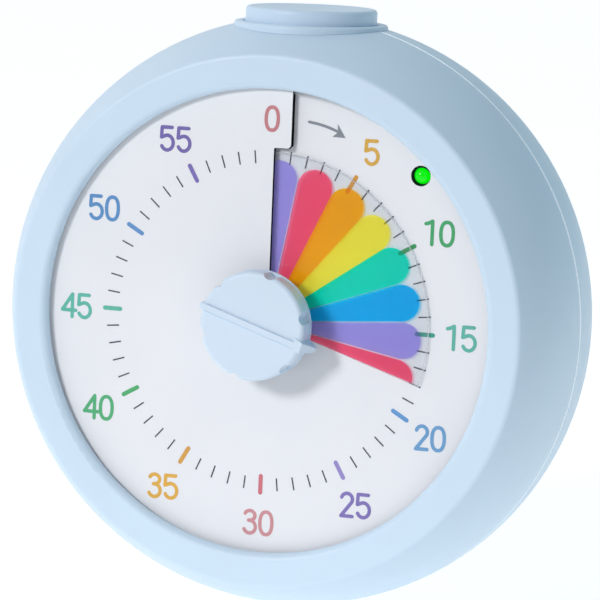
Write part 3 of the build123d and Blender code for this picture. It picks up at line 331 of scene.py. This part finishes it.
def printed(name, colour, rough=0.45, specular=0.5):
    """Screen ink: slightly uneven cover, a soft edge to the gloss."""
    g = material_graph(name)
    patch = g.noise(1800, 3, 0.65)
    return g.finish(g.principled(
        Base_Color=g.mottle(patch, shade(colour, 0.94), shade(colour, 1.05)),
        Roughness=g.span(patch, rough - 0.06, rough + 0.08),
        Normal=g.bump(patch, 0.1, GRAIN_FINE),
        Specular_IOR_Level=specular,
    ))


def dial_material():
    """White printed face. Its cut edges, which show in the slit, are painted near black and matte: painted
    shade.
    """
    g = material_graph("dial_white_print")
    face = g.math("GREATER_THAN", g.math("ABSOLUTE", g.component("Y", "Normal")), 0.5)
    # painted shade: faces that do not look to the front get a near-black colour and full roughness
    painted_edge_shade = g.math("SUBTRACT", 1.0, face)
    white = g.mottle(g.noise(38, 4), srgb(231, 233, 237), srgb(236, 238, 241))
    fine = g.noise(3200, 2)
    return g.finish(g.principled(
        Base_Color=g.blend(face, srgb(3, 3, 5), white),
        Roughness=g.math("MAXIMUM", g.span(fine, 0.5, 0.62), painted_edge_shade),
        Normal=g.bump(fine, 0.06, GRAIN_MEDIUM),
    ))


def film_material():
    """Clear polyester: nearly invisible, a shade greyer outside the dyed part, glossy."""
    g = material_graph("clear_film")
    haze = g.noise(700, 3)
    grey = g.mottle(haze, (0.983, 0.985, 0.989, 1.0), (0.987, 0.989, 0.993, 1.0))
    outside = g.span(g.axis_radius(), 0.0, 1.0, from_low=GREY_START * MM, from_high=GREY_FULL * MM)
    gloss = g.principled(
        Base_Color=srgb(232, 238, 242),
        Roughness=g.span(haze, 0.06, 0.12),
        Normal=g.bump(g.noise(220, 2), 0.05, FILM_WAVE),
    )
    clear = g.transparent(g.blend(outside, (1.0, 1.0, 1.0, 1.0), grey))
    return g.finish(g.mix(g.fresnel(ior=1.35), clear, gloss))


def film_edge_material(name, bands):
    """The film's cut edge, made pale as a painted highlight, with thin grey lines of painted shade where it
    has bands.
    """
    g = material_graph(name)
    speck = g.noise(1500, 2)
    # pale: painted highlight of the edge; the grey lines below are painted shade
    pale = g.mottle(speck, srgb(238, 240, 243), srgb(250, 251, 252))
    if bands:
        inward = g.math("SUBTRACT", FILM_RADIUS * MM, g.axis_radius())
        middle = g.math("ABSOLUTE", g.math("SUBTRACT", inward, RIM_WIDTH * MM / 2))
        line = g.math("GREATER_THAN", middle, (RIM_WIDTH / 2 - RIM_LINE) * MM)
        pale = g.blend(line, pale, srgb(196, 200, 207))
    body = g.principled(Base_Color=pale, Roughness=g.span(speck, 0.16, 0.24), IOR=1.5)
    clear = g.transparent((0.97, 0.975, 0.985, 1.0))
    return g.finish(g.mix(g.span(g.noise(260, 2), 0.22, 0.34), clear, body))


def petal_material(name, colour):
    """Dye in the film. Light passes it and comes back from the dial, a painted glow brightens it, and a
    clear gloss lies over it.
    """
    g = material_graph(name)
    patch = g.noise(4600, 2, 0.7)
    dense = shade(colour, DYE_BODY)
    body = g.principled(
        Base_Color=g.mottle(patch, shade(dense, 0.9), shade(dense, 1.08)),
        Roughness=g.span(patch, 0.26, 0.36),
        Normal=g.bump(patch, 0.04, GRAIN_FINE),
        Specular_IOR_Level=0.0,
        # painted light: the dye glows in its own colour
        Emission_Color=colour,
        Emission_Strength=DYE_PAINTED_GLOW,
    )
    # Light passes the dye twice, so one pass takes the square root of the colour
    twice = [max(0.0, DYE_GAIN * c - DYE_LOSS) for c in colour[:3]]
    tint = tuple(min(1.0, math.sqrt(c)) for c in twice) + (1.0,)
    clear = g.transparent(g.mottle(patch, shade(tint, 0.955), shade(tint, 1.02)))
    dyed = g.mix(g.span(g.noise(90, 3), 0.07, 0.11), clear, body)
    gloss = g.glossy(g.span(patch, 0.07, 0.11))
    return g.finish(g.mix(g.fresnel(ior=1.34), dyed, gloss))


def led_material():
    """A lit green lamp: its dome is even and bright. Painted shade of the hole darkens its skirt, its top
    sooner, and the dome's rim where it turns away.
    """
    low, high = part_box("led_lens")
    g = material_graph("lit_green_lens")
    over = g.math("SUBTRACT", g.component("Z"), (low[2] + high[2]) / 2)
    depth = g.math("SUBTRACT", g.component("Y"), low[1])
    depth = g.math("ADD", depth, g.math("MULTIPLY", over, LED_LEAN))
    skirt = g.span(depth, 0.0, 1.0, from_low=LED_LIT * MM, from_high=(LED_LIT + LED_FADE) * MM)
    facing = g.add("ShaderNodeLayerWeight", {"Blend": 0.5}).outputs["Facing"]
    # painted shade of the hole around the lamp, by depth and by facing
    painted_shade = g.math("MAXIMUM", g.span(facing, 0.0, 1.0, from_low=0.5, from_high=0.85), skirt)
    return g.finish(g.principled(
        Base_Color=srgb(3, 30, 4),
        Roughness=g.span(g.noise(2200, 2), 0.03, 0.05),
        IOR=1.4,
        Emission_Color=g.blend(painted_shade, srgb(0, 246, 6), srgb(4, 38, 20)),
        Emission_Strength=LED_GLOW,
    ))


def board_material():
    """Green solder mask with paler tracks and a fibre weave."""
    g = material_graph("green_circuit_board")
    inputs = {"Vector": g.coords(), "Scale": TRACK_SCALE}
    patches = g.add("ShaderNodeTexVoronoi", inputs, distance="MANHATTAN", feature="F1")
    track = g.math("GREATER_THAN", patches.outputs["Distance"], TRACK_START)
    weave = g.noise(5200, 2)
    mask = g.mottle(weave, srgb(18, 74, 42), srgb(26, 92, 52))
    return g.finish(g.principled(
        Base_Color=g.blend(track, mask, srgb(52, 128, 74)),
        Roughness=g.span(weave, 0.28, 0.4),
        Normal=g.bump(track, 0.2, GRAIN_MEDIUM),
        Coat_Weight=0.3,
        Coat_Roughness=0.15,
    ))


def cell_material():
    """Dry cells: bare metal at both ends, a dark sleeve with a paler band at each of its ends."""
    low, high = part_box("battery_cells")
    g = material_graph("battery_cell_sleeve")
    along = g.span(g.component("X"), 0.0, 1.0, from_low=low[0], from_high=high[0])
    from_middle = g.math("ABSOLUTE", g.math("SUBTRACT", along, 0.5))
    sleeve = g.math("LESS_THAN", from_middle, CELL_SLEEVE)
    band = g.math("GREATER_THAN", from_middle, CELL_BAND)
    grain = g.noise(1500, 3)
    body = g.mottle(grain, srgb(36, 40, 48), srgb(46, 51, 60))
    wrap = g.blend(band, body, srgb(196, 150, 84))
    return g.finish(g.principled(
        Base_Color=g.blend(sleeve, srgb(196, 196, 194), wrap),
        Metallic=g.math("SUBTRACT", 1.0, sleeve),
        Roughness=g.span(grain, 0.24, 0.34),
        Normal=g.bump(grain, 0.06, GRAIN_FINE),
    ))


CASE_BLUE = srgb(205, 226, 242)
case_blue = moulded("case_blue_plastic", CASE_BLUE, rough=0.44, grain=0.16)
rear_blue = moulded("rear_blue_plastic", CASE_BLUE, rough=0.44, grain=0.16, painted_seam_highlight=True)
knob_blue = moulded("knob_blue_plastic", srgb(211, 228, 243), rough=0.4, grain=0.14)
button_blue = moulded("button_blue_plastic", srgb(204, 225, 243), rough=0.4, grain=0.14)
door_blue = moulded("door_blue_plastic", srgb(205, 224, 242), rough=0.46, grain=0.18)
frame_white = moulded("inner_white_plastic", srgb(226, 228, 226), rough=0.5, grain=0.2, mottle=0.03)
movement_white = moulded("movement_white_plastic", srgb(214, 216, 212), rough=0.46, grain=0.2, mottle=0.04)
ACETAL = {"rough": 0.36, "grain": 0.1, "mottle": 0.03}
gear_natural = moulded("gear_natural_acetal", srgb(232, 228, 214), **ACETAL, soft=0.2)
gear_blue = moulded("gear_tinted_acetal", srgb(150, 178, 206), **ACETAL)
part_black = moulded("part_black_plastic", srgb(34, 35, 38), rough=0.42, grain=0.2, mottle=0.08)
part_grey = moulded("part_grey_plastic", srgb(92, 95, 100), rough=0.45, grain=0.2, mottle=0.05)
hub_clear = moulded("hub_pale_plastic", srgb(214, 222, 230), rough=0.3, grain=0.08, soft=0.3)
steel = metal("plain_steel", srgb(196, 198, 202), rough=0.28, stretch=(1, 1, 30))
screw_steel = metal("screw_zinc", srgb(205, 204, 198), rough=0.32, stretch=(1, 30, 1))
spring_steel = metal("spring_steel", srgb(180, 182, 186), rough=0.24, stretch=(1, 1, 8))
can_steel = metal("motor_can", srgb(190, 192, 194), rough=0.34, stretch=(1, 26, 1))
nickel = metal("nickel_contact", srgb(206, 204, 196), rough=0.24, stretch=(24, 1, 1))
# The slit's near-black, matte finish is no ink: it is painted shade for the gap under the dial's raised end.
slit_painted_shade = printed("dial_slit_shade_black", srgb(4, 4, 6), rough=0.9, specular=0.05)

LOOKS = {
    "front_shell": case_blue, "rear_cover": rear_blue, "button_collar": case_blue,
    "battery_door": door_blue, "knob": knob_blue, "button_cap": button_blue,
    "dial_plate": dial_material(), "film_disc": film_material(), "disc_hub": hub_clear,
    "inner_frame": frame_white, "movement_base": movement_white, "movement_cover": movement_white,
    "output_gear": gear_natural, "idler_gear": gear_natural, "motor_pinion": gear_blue,
    "spindle": frame_white, "led_holder": part_black, "led_lens": led_material(),
    "buzzer": part_black, "control_chip": part_black, "tact_switch": part_grey,
    "switch_plunger": part_black, "volume_switch": part_grey, "volume_slider": part_black,
    "circuit_board": board_material(), "battery_cells": cell_material(),
    "frame_screws": screw_steel, "case_screws": screw_steel, "movement_screws": screw_steel,
    "board_screws": screw_steel, "clutch_washer": spring_steel, "retaining_clip": spring_steel,
    "button_spring": spring_steel, "idler_shaft": steel, "motor_shaft": steel, "motor": can_steel,
    "led_legs": nickel, "contact_bridge": nickel, "contact_terminals": nickel,
    "control_chip_pins": nickel,
}
for node_name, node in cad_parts.items():
    node.data.materials.clear()
    node.data.materials.append(LOOKS[node_name])


# ---------------------------------------------------------------- meshes
def piece(name, vertices, faces, material, body, slot, smooth=False):
    """An object of the scene's own, which rides on a body of the part."""
    mesh = bpy.data.meshes.new(name)
    mesh.from_pydata([tuple(v) for v in vertices], [], faces)
    mesh.validate()
    mesh.update()
    shape = bmesh.new()
    shape.from_mesh(mesh)
    bmesh.ops.recalc_face_normals(shape, faces=shape.faces)
    shape.to_mesh(mesh)
    shape.free()
    for face in mesh.polygons:
        face.use_smooth = smooth
    mesh.materials.append(material)
    obj = bpy.data.objects.new(name, mesh)
    bpy.context.scene.collection.objects.link(obj)
    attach(obj, body)
    return obj


def prism(flat, faces, offset=0, lift=INK_LIFT):
    """Closed prints: the flat points on the dial's face, their backs sunk in it, and the walls."""
    count = len(flat)
    vertices = [on_dial(x, z, lift) for x, z in flat]
    vertices += [on_dial(x, z, -INK_SINK) for x, z in flat]
    solid = [tuple(i + offset for i in face) for face in faces]
    solid += [tuple(i + offset + count for i in reversed(face)) for face in faces]
    border = {}
    for face in faces:
        for a, b in zip(face, face[1:] + face[:1]):
            if (b, a) in border:
                del border[(b, a)]
            else:
                border[(a, b)] = True
    for a, b in border:
        solid.append((b + offset, a + offset, a + count + offset, b + count + offset))
    return vertices, solid


def tube(stations):
    """A closed skin over rings of as many corners each, with a cap at both ends."""
    sides = len(stations[0])
    vertices = [corner for ring in stations for corner in ring]
    last = len(vertices) - sides
    faces = []
    for first in range(0, last, sides):
        for side in range(sides):
            a, b = first + side, first + (side + 1) % sides
            faces.append((a, b, b + sides, a + sides))
    faces.append(tuple(reversed(range(sides))))
    faces.append(tuple(range(last, last + sides)))
    return vertices, faces


# ---------------------------------------------------------------- printing on the dial
def field_print(strokes, width):
    """The outline of strokes with round ends and corners, filled in small cells."""
    points = np.array([p for stroke in strokes for p in stroke])
    margin = width / 2 + FIELD_CELL * 1.5
    low = points.min(axis=0) - margin
    counts = np.ceil((points.max(axis=0) + margin - low) / FIELD_CELL).astype(int) + 1
    xs = low[0] + FIELD_CELL * np.arange(counts[0])
    zs = low[1] + FIELD_CELL * np.arange(counts[1])
    grid_x, grid_z = np.meshgrid(xs, zs, indexing="ij")
    distance = np.full(grid_x.shape, np.inf)
    for stroke in strokes:
        for (ax, az), (bx, bz) in zip(stroke, stroke[1:]):
            dx, dz = bx - ax, bz - az
            t = np.clip(((grid_x - ax) * dx + (grid_z - az) * dz) / (dx * dx + dz * dz), 0, 1)
            away = np.hypot(grid_x - ax - t * dx, grid_z - az - t * dz)
            distance = np.minimum(distance, away)
    field = distance - width / 2
    flat, index, faces = [], {}, []

    def vertex(key, x, z):
        if key not in index:
            index[key] = len(flat)
            flat.append((float(x), float(z)))
        return index[key]

    for i in range(counts[0] - 1):
        for j in range(counts[1] - 1):
            ring = []
            corners = [(i, j), (i + 1, j), (i + 1, j + 1), (i, j + 1)]
            for here, there in zip(corners, corners[1:] + corners[:1]):
                f_here, f_there = field[here], field[there]
                if f_here < 0:
                    ring.append(vertex(here, xs[here[0]], zs[here[1]]))
                if (f_here < 0) != (f_there < 0):
                    t = f_here / (f_here - f_there)
                    x = xs[here[0]] + t * (xs[there[0]] - xs[here[0]])
                    z = zs[here[1]] + t * (zs[there[1]] - zs[here[1]])
                    ring.append(vertex(tuple(sorted((here, there))), x, z))
            if len(ring) > 2:
                faces.append(tuple(ring))
    return flat, faces


def arc(centre_x, centre_z, radius_x, radius_z, start, end, power=2.0):
    """Points of an ellipse, or of a squarer oval where power is over 2, by angle from +x."""
    steps = int(abs(end - start) / ARC_STEP)
    points = []
    for k in range(steps + 1):
        a = math.radians(start + (end - start) * k / steps)
        c, s = math.cos(a), math.sin(a)
        points.append((
            centre_x + radius_x * math.copysign(abs(c) ** (2 / power), c),
            centre_z + radius_z * math.copysign(abs(s) ** (2 / power), s),
        ))
    return points


TOP = NUMERAL_HEIGHT
DIGITS = {  # each digit's strokes and its width, between the middles of its strokes
    "0": ([arc(1.06, TOP / 2, 1.06, TOP / 2, 0, 360, power=2.35)], 2.12),
    "1": ([[(0.0, TOP - 0.48), (0.45, TOP - 0.36), (0.85, TOP - 0.16), (1.12, TOP), (1.12, 0.0)]], 1.12),
    "2": ([arc(0.98, TOP - 0.97, 0.96, 0.97, 165, -38) + [(0.02, 0.0), (1.98, 0.0)]], 1.98),
    "3": ([arc(0.95, TOP - 0.82, 0.9, 0.82, 158, -78) + [(0.75, 2.16)]
           + arc(0.95, 1.08, 1.05, 1.08, 80, -155)], 2.0),
    "4": ([[(1.8, 0.0), (1.8, TOP), (0.0, 1.1), (2.45, 1.1)]], 2.45),
    "5": ([[(1.86, TOP), (0.08, TOP), (0.0, 2.12)]
           + arc(1.05, 1.24, 1.08, 1.24, 118, -152)], 2.13),
}
KERN_BEFORE = {"0": 0.78, "5": 0.85}  # space before a second digit
KERN_AFTER = {"1": 0.7, "4": -0.34}  # and what a first digit adds to it


def numeral_strokes(text):
    strokes, pen = [], 0.0
    for position, digit in enumerate(text):
        shapes, width = DIGITS[digit]
        if position:
            pen += KERN_BEFORE[digit] + KERN_AFTER.get(text[position - 1], 0.0)
        strokes += [[(x + pen, z) for x, z in stroke] for stroke in shapes]
        pen += width
    return [[(x - pen / 2, z - TOP / 2) for x, z in stroke] for stroke in strokes]


NUMERALS = {
    0: srgb(196, 124, 130), 5: srgb(216, 168, 66), 10: srgb(62, 164, 104), 15: srgb(92, 180, 164),
    20: srgb(104, 158, 204), 25: srgb(128, 114, 182), 30: srgb(204, 142, 148),
    35: srgb(224, 172, 66), 40: srgb(78, 174, 118), 45: srgb(92, 184, 166),
    50: srgb(86, 142, 196), 55: srgb(112, 100, 170),
}
TICKS = {
    5: srgb(218, 152, 50), 10: srgb(44, 152, 84), 15: srgb(54, 162, 142), 20: srgb(96, 152, 208),
    25: srgb(150, 136, 200), 30: srgb(208, 112, 124), 35: srgb(214, 158, 70),
    40: srgb(74, 172, 108), 45: srgb(92, 184, 162), 50: srgb(94, 146, 202), 55: srgb(120, 106, 178),
}


def bar(angle, inner, outer, width, round_ends):
    """A radial bar's outline on the dial."""
    half = width / 2
    outline = [(-half, inner), (-half, outer), (half, outer), (half, inner)]
    if round_ends:
        outline = []
        for middle, start in ((outer - half, -90), (inner + half, 90)):
            for k in range(BIG_END_STEPS + 1):
                a = math.radians(start + 180 * k / BIG_END_STEPS)
                outline.append((half * math.sin(a), middle + half * math.cos(a)))
    sine, cosine = math.sin(math.radians(angle)), math.cos(math.radians(angle))
    return [(across * cosine + along * sine, along * cosine - across * sine) for across, along in outline]


def print_numerals():
    for minute, colour in NUMERALS.items():
        middle_x, middle_z = polar(NUMERAL_RADIUS, minute * MINUTE)
        middle_x += NUMERAL_SHIFT[0] + NUMERAL_NUDGE.get(minute, 0.0)
        middle_z += NUMERAL_SHIFT[1]
        flat, faces = field_print(numeral_strokes(str(minute)), NUMERAL_STROKE)
        vertices, solid = prism([(x + middle_x, z + middle_z) for x, z in flat], faces)
        ink = printed(f"ink_numeral_{minute:02d}", colour)
        piece(f"dial_numeral_{minute:02d}", vertices, solid, ink, "case", "dial_plastic")


def print_grey_ticks():
    vertices, solid = [], []
    for minute in range(1, 60):
        if minute % 5:
            flat = bar(minute * MINUTE, TICK_INNER, TICK_OUTER, TICK_WIDTH, round_ends=False)
            more, faces = prism(flat, [tuple(range(len(flat)))], len(vertices))
            vertices += more
            solid += faces
    ink = printed("ink_grey_ticks", srgb(60, 64, 74))
    piece("dial_minute_ticks", vertices, solid, ink, "case", "dial_plastic")


def print_big_ticks():
    for minute, colour in TICKS.items():
        flat = bar(minute * MINUTE, BIG_INNER, BIG_OUTER, BIG_WIDTH, round_ends=True)
        vertices, solid = prism(flat, [tuple(range(len(flat)))])
        ink = printed(f"ink_tick_{minute:02d}", colour)
        piece(f"dial_tick_{minute:02d}", vertices, solid, ink, "case", "dial_plastic")


def print_arrow():
    """The arrow beside the 0 shows which way the knob is turned."""
    shaft = []
    for k in range(ARROW_STEPS + 1):
        bow = ARROW_BOW * math.sin(math.pi * k / ARROW_STEPS)
        shaft.append(polar(ARROW_RADIUS + bow, ARROW_START + ARROW_STEP * k))
    flat, faces = field_print([shaft], ARROW_STROKE)
    vertices, solid = prism(flat, faces)
    head = [polar(radius, angle) for radius, angle in ARROW_HEAD]
    more, faces = prism(head, [(0, 1, 2), (0, 2, 3)], len(vertices), INK_LIFT + INK_OVERPRINT)
    ink = printed("ink_arrow", srgb(130, 137, 146))
    piece("dial_arrow", vertices + more, solid + faces, ink, "case", "dial_plastic")


print_numerals()
print_grey_ticks()
print_big_ticks()
print_arrow()


# ---------------------------------------------------------------- the button's return spring
def coil_spring():
    """A round-wire spring with closed ends in the place of the plain one, pressed by the button."""
    low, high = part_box("button_spring")
    wire = SPRING_WIRE * MM / 2
    foot, top = low[2] + wire, high[2] - wire
    count = SPRING_TURNS * SPRING_AROUND
    stations = []
    for k in range(count + 1):
        t = k / count
        turn = 2 * math.pi * SPRING_TURNS * t
        outward = Vector((math.cos(turn), math.sin(turn), 0.0))
        z = foot + (top - foot) * (t - SPRING_SLOW * math.sin(2 * math.pi * t))
        ring = []
        for side in range(SPRING_SIDES):
            a = 2 * math.pi * side / SPRING_SIDES
            reach = SPRING_RADIUS * MM + wire * math.cos(a)
            ring.append(outward * reach + Vector((0.0, 0.0, z + wire * math.sin(a))))
        stations.append(ring)
    coil = piece("button_coil", *tube(stations), spring_steel, "case", "spring_steel", smooth=True)
    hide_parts("button_spring")
    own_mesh(coil)


coil_spring()


# ---------------------------------------------------------------- the slit's dark edge, a piece of painted shade
def slit_step(x):
    """Height over the axis of the slit's round step."""
    return math.sqrt(SLIT_REACH ** 2 - x * x)


def quarter(centre, radius, start, turn, steps):
    """A rounded corner's points, each with its direction out of the sheet.

    It goes clockwise where turn is 1, and the other way where turn is -1.
    """
    points = []
    for k in range(steps + 1):
        a = math.radians(start - turn * 90 * k / steps)
        c, s = math.cos(a), math.sin(a)
        points.append((centre[0] + radius * c, centre[1] + radius * s, turn * c, turn * s))
    return points


def slit_path():
    """The raised end's edge from top to foot, each point with its direction out of the sheet."""
    outer_x, inner_x = SLIT_STEP_X - OUTER_CORNER, SLIT_X + INNER_CORNER
    outer_z, inner_z = slit_step(outer_x) + OUTER_CORNER, slit_step(inner_x) - INNER_CORNER
    points = [(SLIT_STEP_X, LIP_TOP, 1.0, 0.0)]
    points += quarter((outer_x, outer_z), OUTER_CORNER, start=0, turn=1, steps=8)
    points += [(x, slit_step(x), 0.0, -1.0) for x in LIP_STEP_X]
    points += quarter((inner_x, inner_z), INNER_CORNER, start=90, turn=-1, steps=6)
    for k in range(1, LIP_SIDE_STEPS + 1):
        points.append((SLIT_X, inner_z + (LIP_FOOT - inner_z) * k / LIP_SIDE_STEPS, 1.0, 0.0))
    return points


def lip_point(x, z, drop):
    """A place under the raised end's face; the raised end is the turn's end, left of the slit."""
    angle = 360 + math.degrees(math.atan2(x, z))
    return Vector((x, dial_front(angle) + drop, AXIS_Z + z)) * MM


# A black piece of painted shade, put in the gap under the raised end, where there is only shade.
def slit_lip():
    stations = []
    for x, z, out_x, out_z in slit_path():
        over_film = math.hypot(x, z) < SLIT_REACH + LIP_CHANGE
        depth = LIP_OVER_FILM if over_film else LIP_OVER_DIAL
        section = [(LIP_PROUD, LIP_FRONT), (LIP_PROUD, depth), (-LIP_DEEP, depth), (-LIP_DEEP, LIP_FRONT)]
        stations.append([lip_point(x + out_x * away, z + out_z * away, drop) for away, drop in section])
    piece("dial_slit_shade_piece", *tube(stations), slit_painted_shade, "case", "dial_plastic")


slit_lip()

# ---------------------------------------------------------------- petals on the film
PETAL_INKS = [  # back from the leading edge, each with the bare film left and right of it
    ("red", srgb(229, 79, 108), PETAL_GAP, 0.0),
    ("purple", srgb(147, 137, 208), PETAL_GAP, PETAL_GAP),
    ("blue", srgb(20, 159, 219), PETAL_GAP, PETAL_GAP),
    ("teal", srgb(9, 200, 172), 0.0, PETAL_GAP),
    ("yellow", srgb(223, 212, 67), 0.0, 0.0),
    ("orange", srgb(229, 154, 26), 0.0, 0.0),
]


def petal(index, gap_left, gap_right):
    """A petal's points, by threes from root to round end. The first and the last petal are halves."""
    centre = FILM_LEADING - PETAL_ANGLE * index
    low = -90.0 if index < PETALS else PETAL_CUT
    high = 90.0 if index else -PETAL_CUT
    points = []
    for k in range(PETAL_STEPS + 1):
        turn = PETAL_HALF * math.sin(math.radians(low + (high - low) * k / PETAL_STEPS))
        across, along = polar(PETAL_TIP_CENTRE, turn)
        reach = along + math.sqrt(max(0.0, PETAL_TIP_RADIUS ** 2 - across ** 2))
        bare = (gap_right if turn > 0 else -gap_left) * abs(turn) / PETAL_HALF
        for radius in (PETAL_ROOT, reach / 2, reach):
            points.append(on_film(radius, centre + turn - math.degrees(bare / radius), PETAL_LIFT))
    return points


def print_petals():
    groups = {name: ([], []) for name, *_ in PETAL_INKS}
    for index in range(PETALS + 1):
        name, _, gap_left, gap_right = PETAL_INKS[index % len(PETAL_INKS)]
        vertices, faces = groups[name]
        for k in range(PETAL_STEPS):
            a = len(vertices) + 3 * k
            faces += [(b, b + 1, b + 4, b + 3) for b in (a, a + 1)]
        vertices += petal(index, gap_left, gap_right)
    for name, colour, *_ in PETAL_INKS:
        ink = petal_material(f"petal_{name}", colour)
        piece(f"film_petals_{name}", *groups[name], ink, "film", "printed_film")


print_petals()


# ---------------------------------------------------------------- the film's rim and radial edges
def film_edge(radius, angle, inward, sideways):
    """Corners of the film's cut edge, from the film's face over its shoulder to its back.

    It is as wide as inward in mm or as sideways in degrees.
    """
    return [
        on_film(radius - inward, angle + sideways, 0.0),
        on_film(radius - EDGE_SHOULDER * inward, angle + EDGE_SHOULDER * sideways, RIM_LIFT),
        on_film(radius, angle, EDGE_SHOULDER * RIM_LIFT),
        on_film(radius, angle, -FILM_THICKNESS),
    ]


def film_rim():
    stations = []
    for k in range(RIM_STEPS + 1):
        angle = FILM_TRAILING + (FILM_LEADING - FILM_TRAILING) * k / RIM_STEPS
        stations.append(film_edge(FILM_RADIUS, angle, inward=RIM_WIDTH, sideways=0.0))
    look = film_edge_material("film_rim_painted_highlight", bands=True)
    piece("film_rim", *tube(stations), look, "film", "printed_film")


def film_radial_edges():
    look = film_edge_material("film_edge_painted_highlight", bands=False)
    for label, angle, side in (("leading", FILM_LEADING, -1), ("trailing", FILM_TRAILING, 1)):
        stations = []
        for k in range(EDGE_STEPS + 1):
            radius = EDGE_ROOT + (FILM_RADIUS - EDGE_ROOT) * k / EDGE_STEPS
            sideways = side * math.degrees(EDGE_WIDTH / radius)
            stations.append(film_edge(radius, angle, inward=0.0, sideways=sideways))
        piece(f"film_edge_{label}", *tube(stations), look, "film", "printed_film")


film_rim()
film_radial_edges()

# ---------------------------------------------------------------- floor, light and camera, in m
FLOOR_HALF, FLOOR_DROP = 9.0, 0.0002  # half of its side, and how far it lies under the foot
FLOOR_NEAR, FLOOR_FAR = -0.35, -0.05  # where its added light starts to grow, and where it is full
FLOOR_FRONT, FLOOR_BACK = 0.04, 0.68  # that light in front of the case and behind it
SKY_TOWARD = (-0.5, 0.7, 0.5)  # where the sky is brightest
SKY_LOW, SKY_HIGH = 0.0, 0.88  # its light away from there, and there
SKY_LEFT = (0.92, 0.96, 1.0, 1.0)
SKY_RIGHT = (0.44, 0.86, 1.0, 1.0)
SKY_FRONT = (1.0, 0.74, 0.92, 1.0)
AZIMUTH, ELEVATION, ROLL = (math.radians(v) for v in (19.2066, 7.4586, 2.2695))  # of the photograph
DISTANCE = 0.66594  # from the dial's centre
AIM_RIGHT, AIM_UP = 0.005525, 0.00354  # from the dial's centre to the middle of the picture
LENS, SENSOR = 240.44, 36.0  # mm

scene = bpy.context.scene
scene.view_settings.view_transform = "Standard"
scene.view_settings.look = "None"


def stage_floor():
    """A pale floor, lit more behind the case, where the camera sees it, than in front."""
    g = material_graph("pale_floor")
    material = g.finish(g.principled(
        Base_Color=g.mottle(g.noise(3, 3), srgb(189, 188, 190), srgb(192, 191, 192)),
        Roughness=0.8,
        Emission_Color=(1.0, 1.0, 1.0, 1.0),
        Emission_Strength=g.span(g.component("Y"), FLOOR_FRONT, FLOOR_BACK, FLOOR_NEAR, FLOOR_FAR),
    ))
    mesh = bpy.data.meshes.new("floor")
    corners = [(x * FLOOR_HALF, y * FLOOR_HALF, 0.0) for x, y in ((-1, -1), (1, -1), (1, 1), (-1, 1))]
    mesh.from_pydata(corners, [], [(0, 1, 2, 3)])
    mesh.materials.append(material)
    floor = bpy.data.objects.new("floor", mesh)
    floor.location.z = -FLOOR_DROP
    scene.collection.objects.link(floor)


def studio_sky():
    """A soft sky, brighter toward one side, that changes hue to the right and to the front."""
    g = Graph(bpy.data.worlds.new("studio"), "ShaderNodeOutputWorld")

    def ramp(direction, low, high, start=-1.0):
        """From low away from the direction to high toward it."""
        ends = {0: g.coords("Generated"), 1: Vector(direction).normalized()}
        toward = g.add("ShaderNodeVectorMath", ends, operation="DOT_PRODUCT")
        return g.span(toward.outputs["Value"], low, high, start, 1.0)

    hue = g.blend(ramp((1, 0, 0), 0.0, 1.0, -0.3), SKY_LEFT, SKY_RIGHT)
    hue = g.blend(ramp((0, -1, 0), 0.0, 1.0, 0.2), hue, SKY_FRONT)
    strength = ramp(SKY_TOWARD, SKY_LOW, SKY_HIGH)
    return g.finish(g.add("ShaderNodeBackground", {"Color": hue, "Strength": strength}).outputs[0])


def soft_box(name, direction, distance, size, power, colour):
    """A round light that faces the dial's centre."""
    light = bpy.data.lights.new(name, "AREA")
    light.shape = "DISK"
    light.size = size
    light.energy = power
    light.color = colour
    obj = bpy.data.objects.new(name, light)
    toward = Vector(direction).normalized()
    obj.location = DIAL_CENTRE + toward * distance
    obj.rotation_euler = toward.to_track_quat("Z", "Y").to_euler()
    scene.collection.objects.link(obj)


def photo_camera():
    """The camera, where the photograph was taken from."""
    back = Vector((
        math.sin(AZIMUTH) * math.cos(ELEVATION),
        -math.cos(AZIMUTH) * math.cos(ELEVATION),
        math.sin(ELEVATION),
    ))
    right = Vector((0, 0, 1)).cross(back).normalized()
    up = back.cross(right)
    image_x = right * math.cos(ROLL) + up * math.sin(ROLL)
    image_y = up * math.cos(ROLL) - right * math.sin(ROLL)
    place = DIAL_CENTRE + back * DISTANCE + image_x * AIM_RIGHT + image_y * AIM_UP
    turn = Matrix((image_x, image_y, back)).transposed().to_4x4()
    camera = bpy.data.cameras.new("camera")
    camera.sensor_width = SENSOR
    camera.lens = LENS
    obj = bpy.data.objects.new("camera", camera)
    obj.matrix_world = Matrix.Translation(place) @ turn
    scene.collection.objects.link(obj)
    scene.camera = obj


stage_floor()
scene.world = studio_sky()
soft_box("key", (-0.42, -0.86, 0.4), distance=1.3, size=0.28, power=7.5, colour=(0.98, 1.0, 0.985))
soft_box("fill", (0.75, -0.6, 0.35), distance=1.3, size=1.0, power=0.9, colour=(0.85, 0.96, 1.0))
photo_camera()
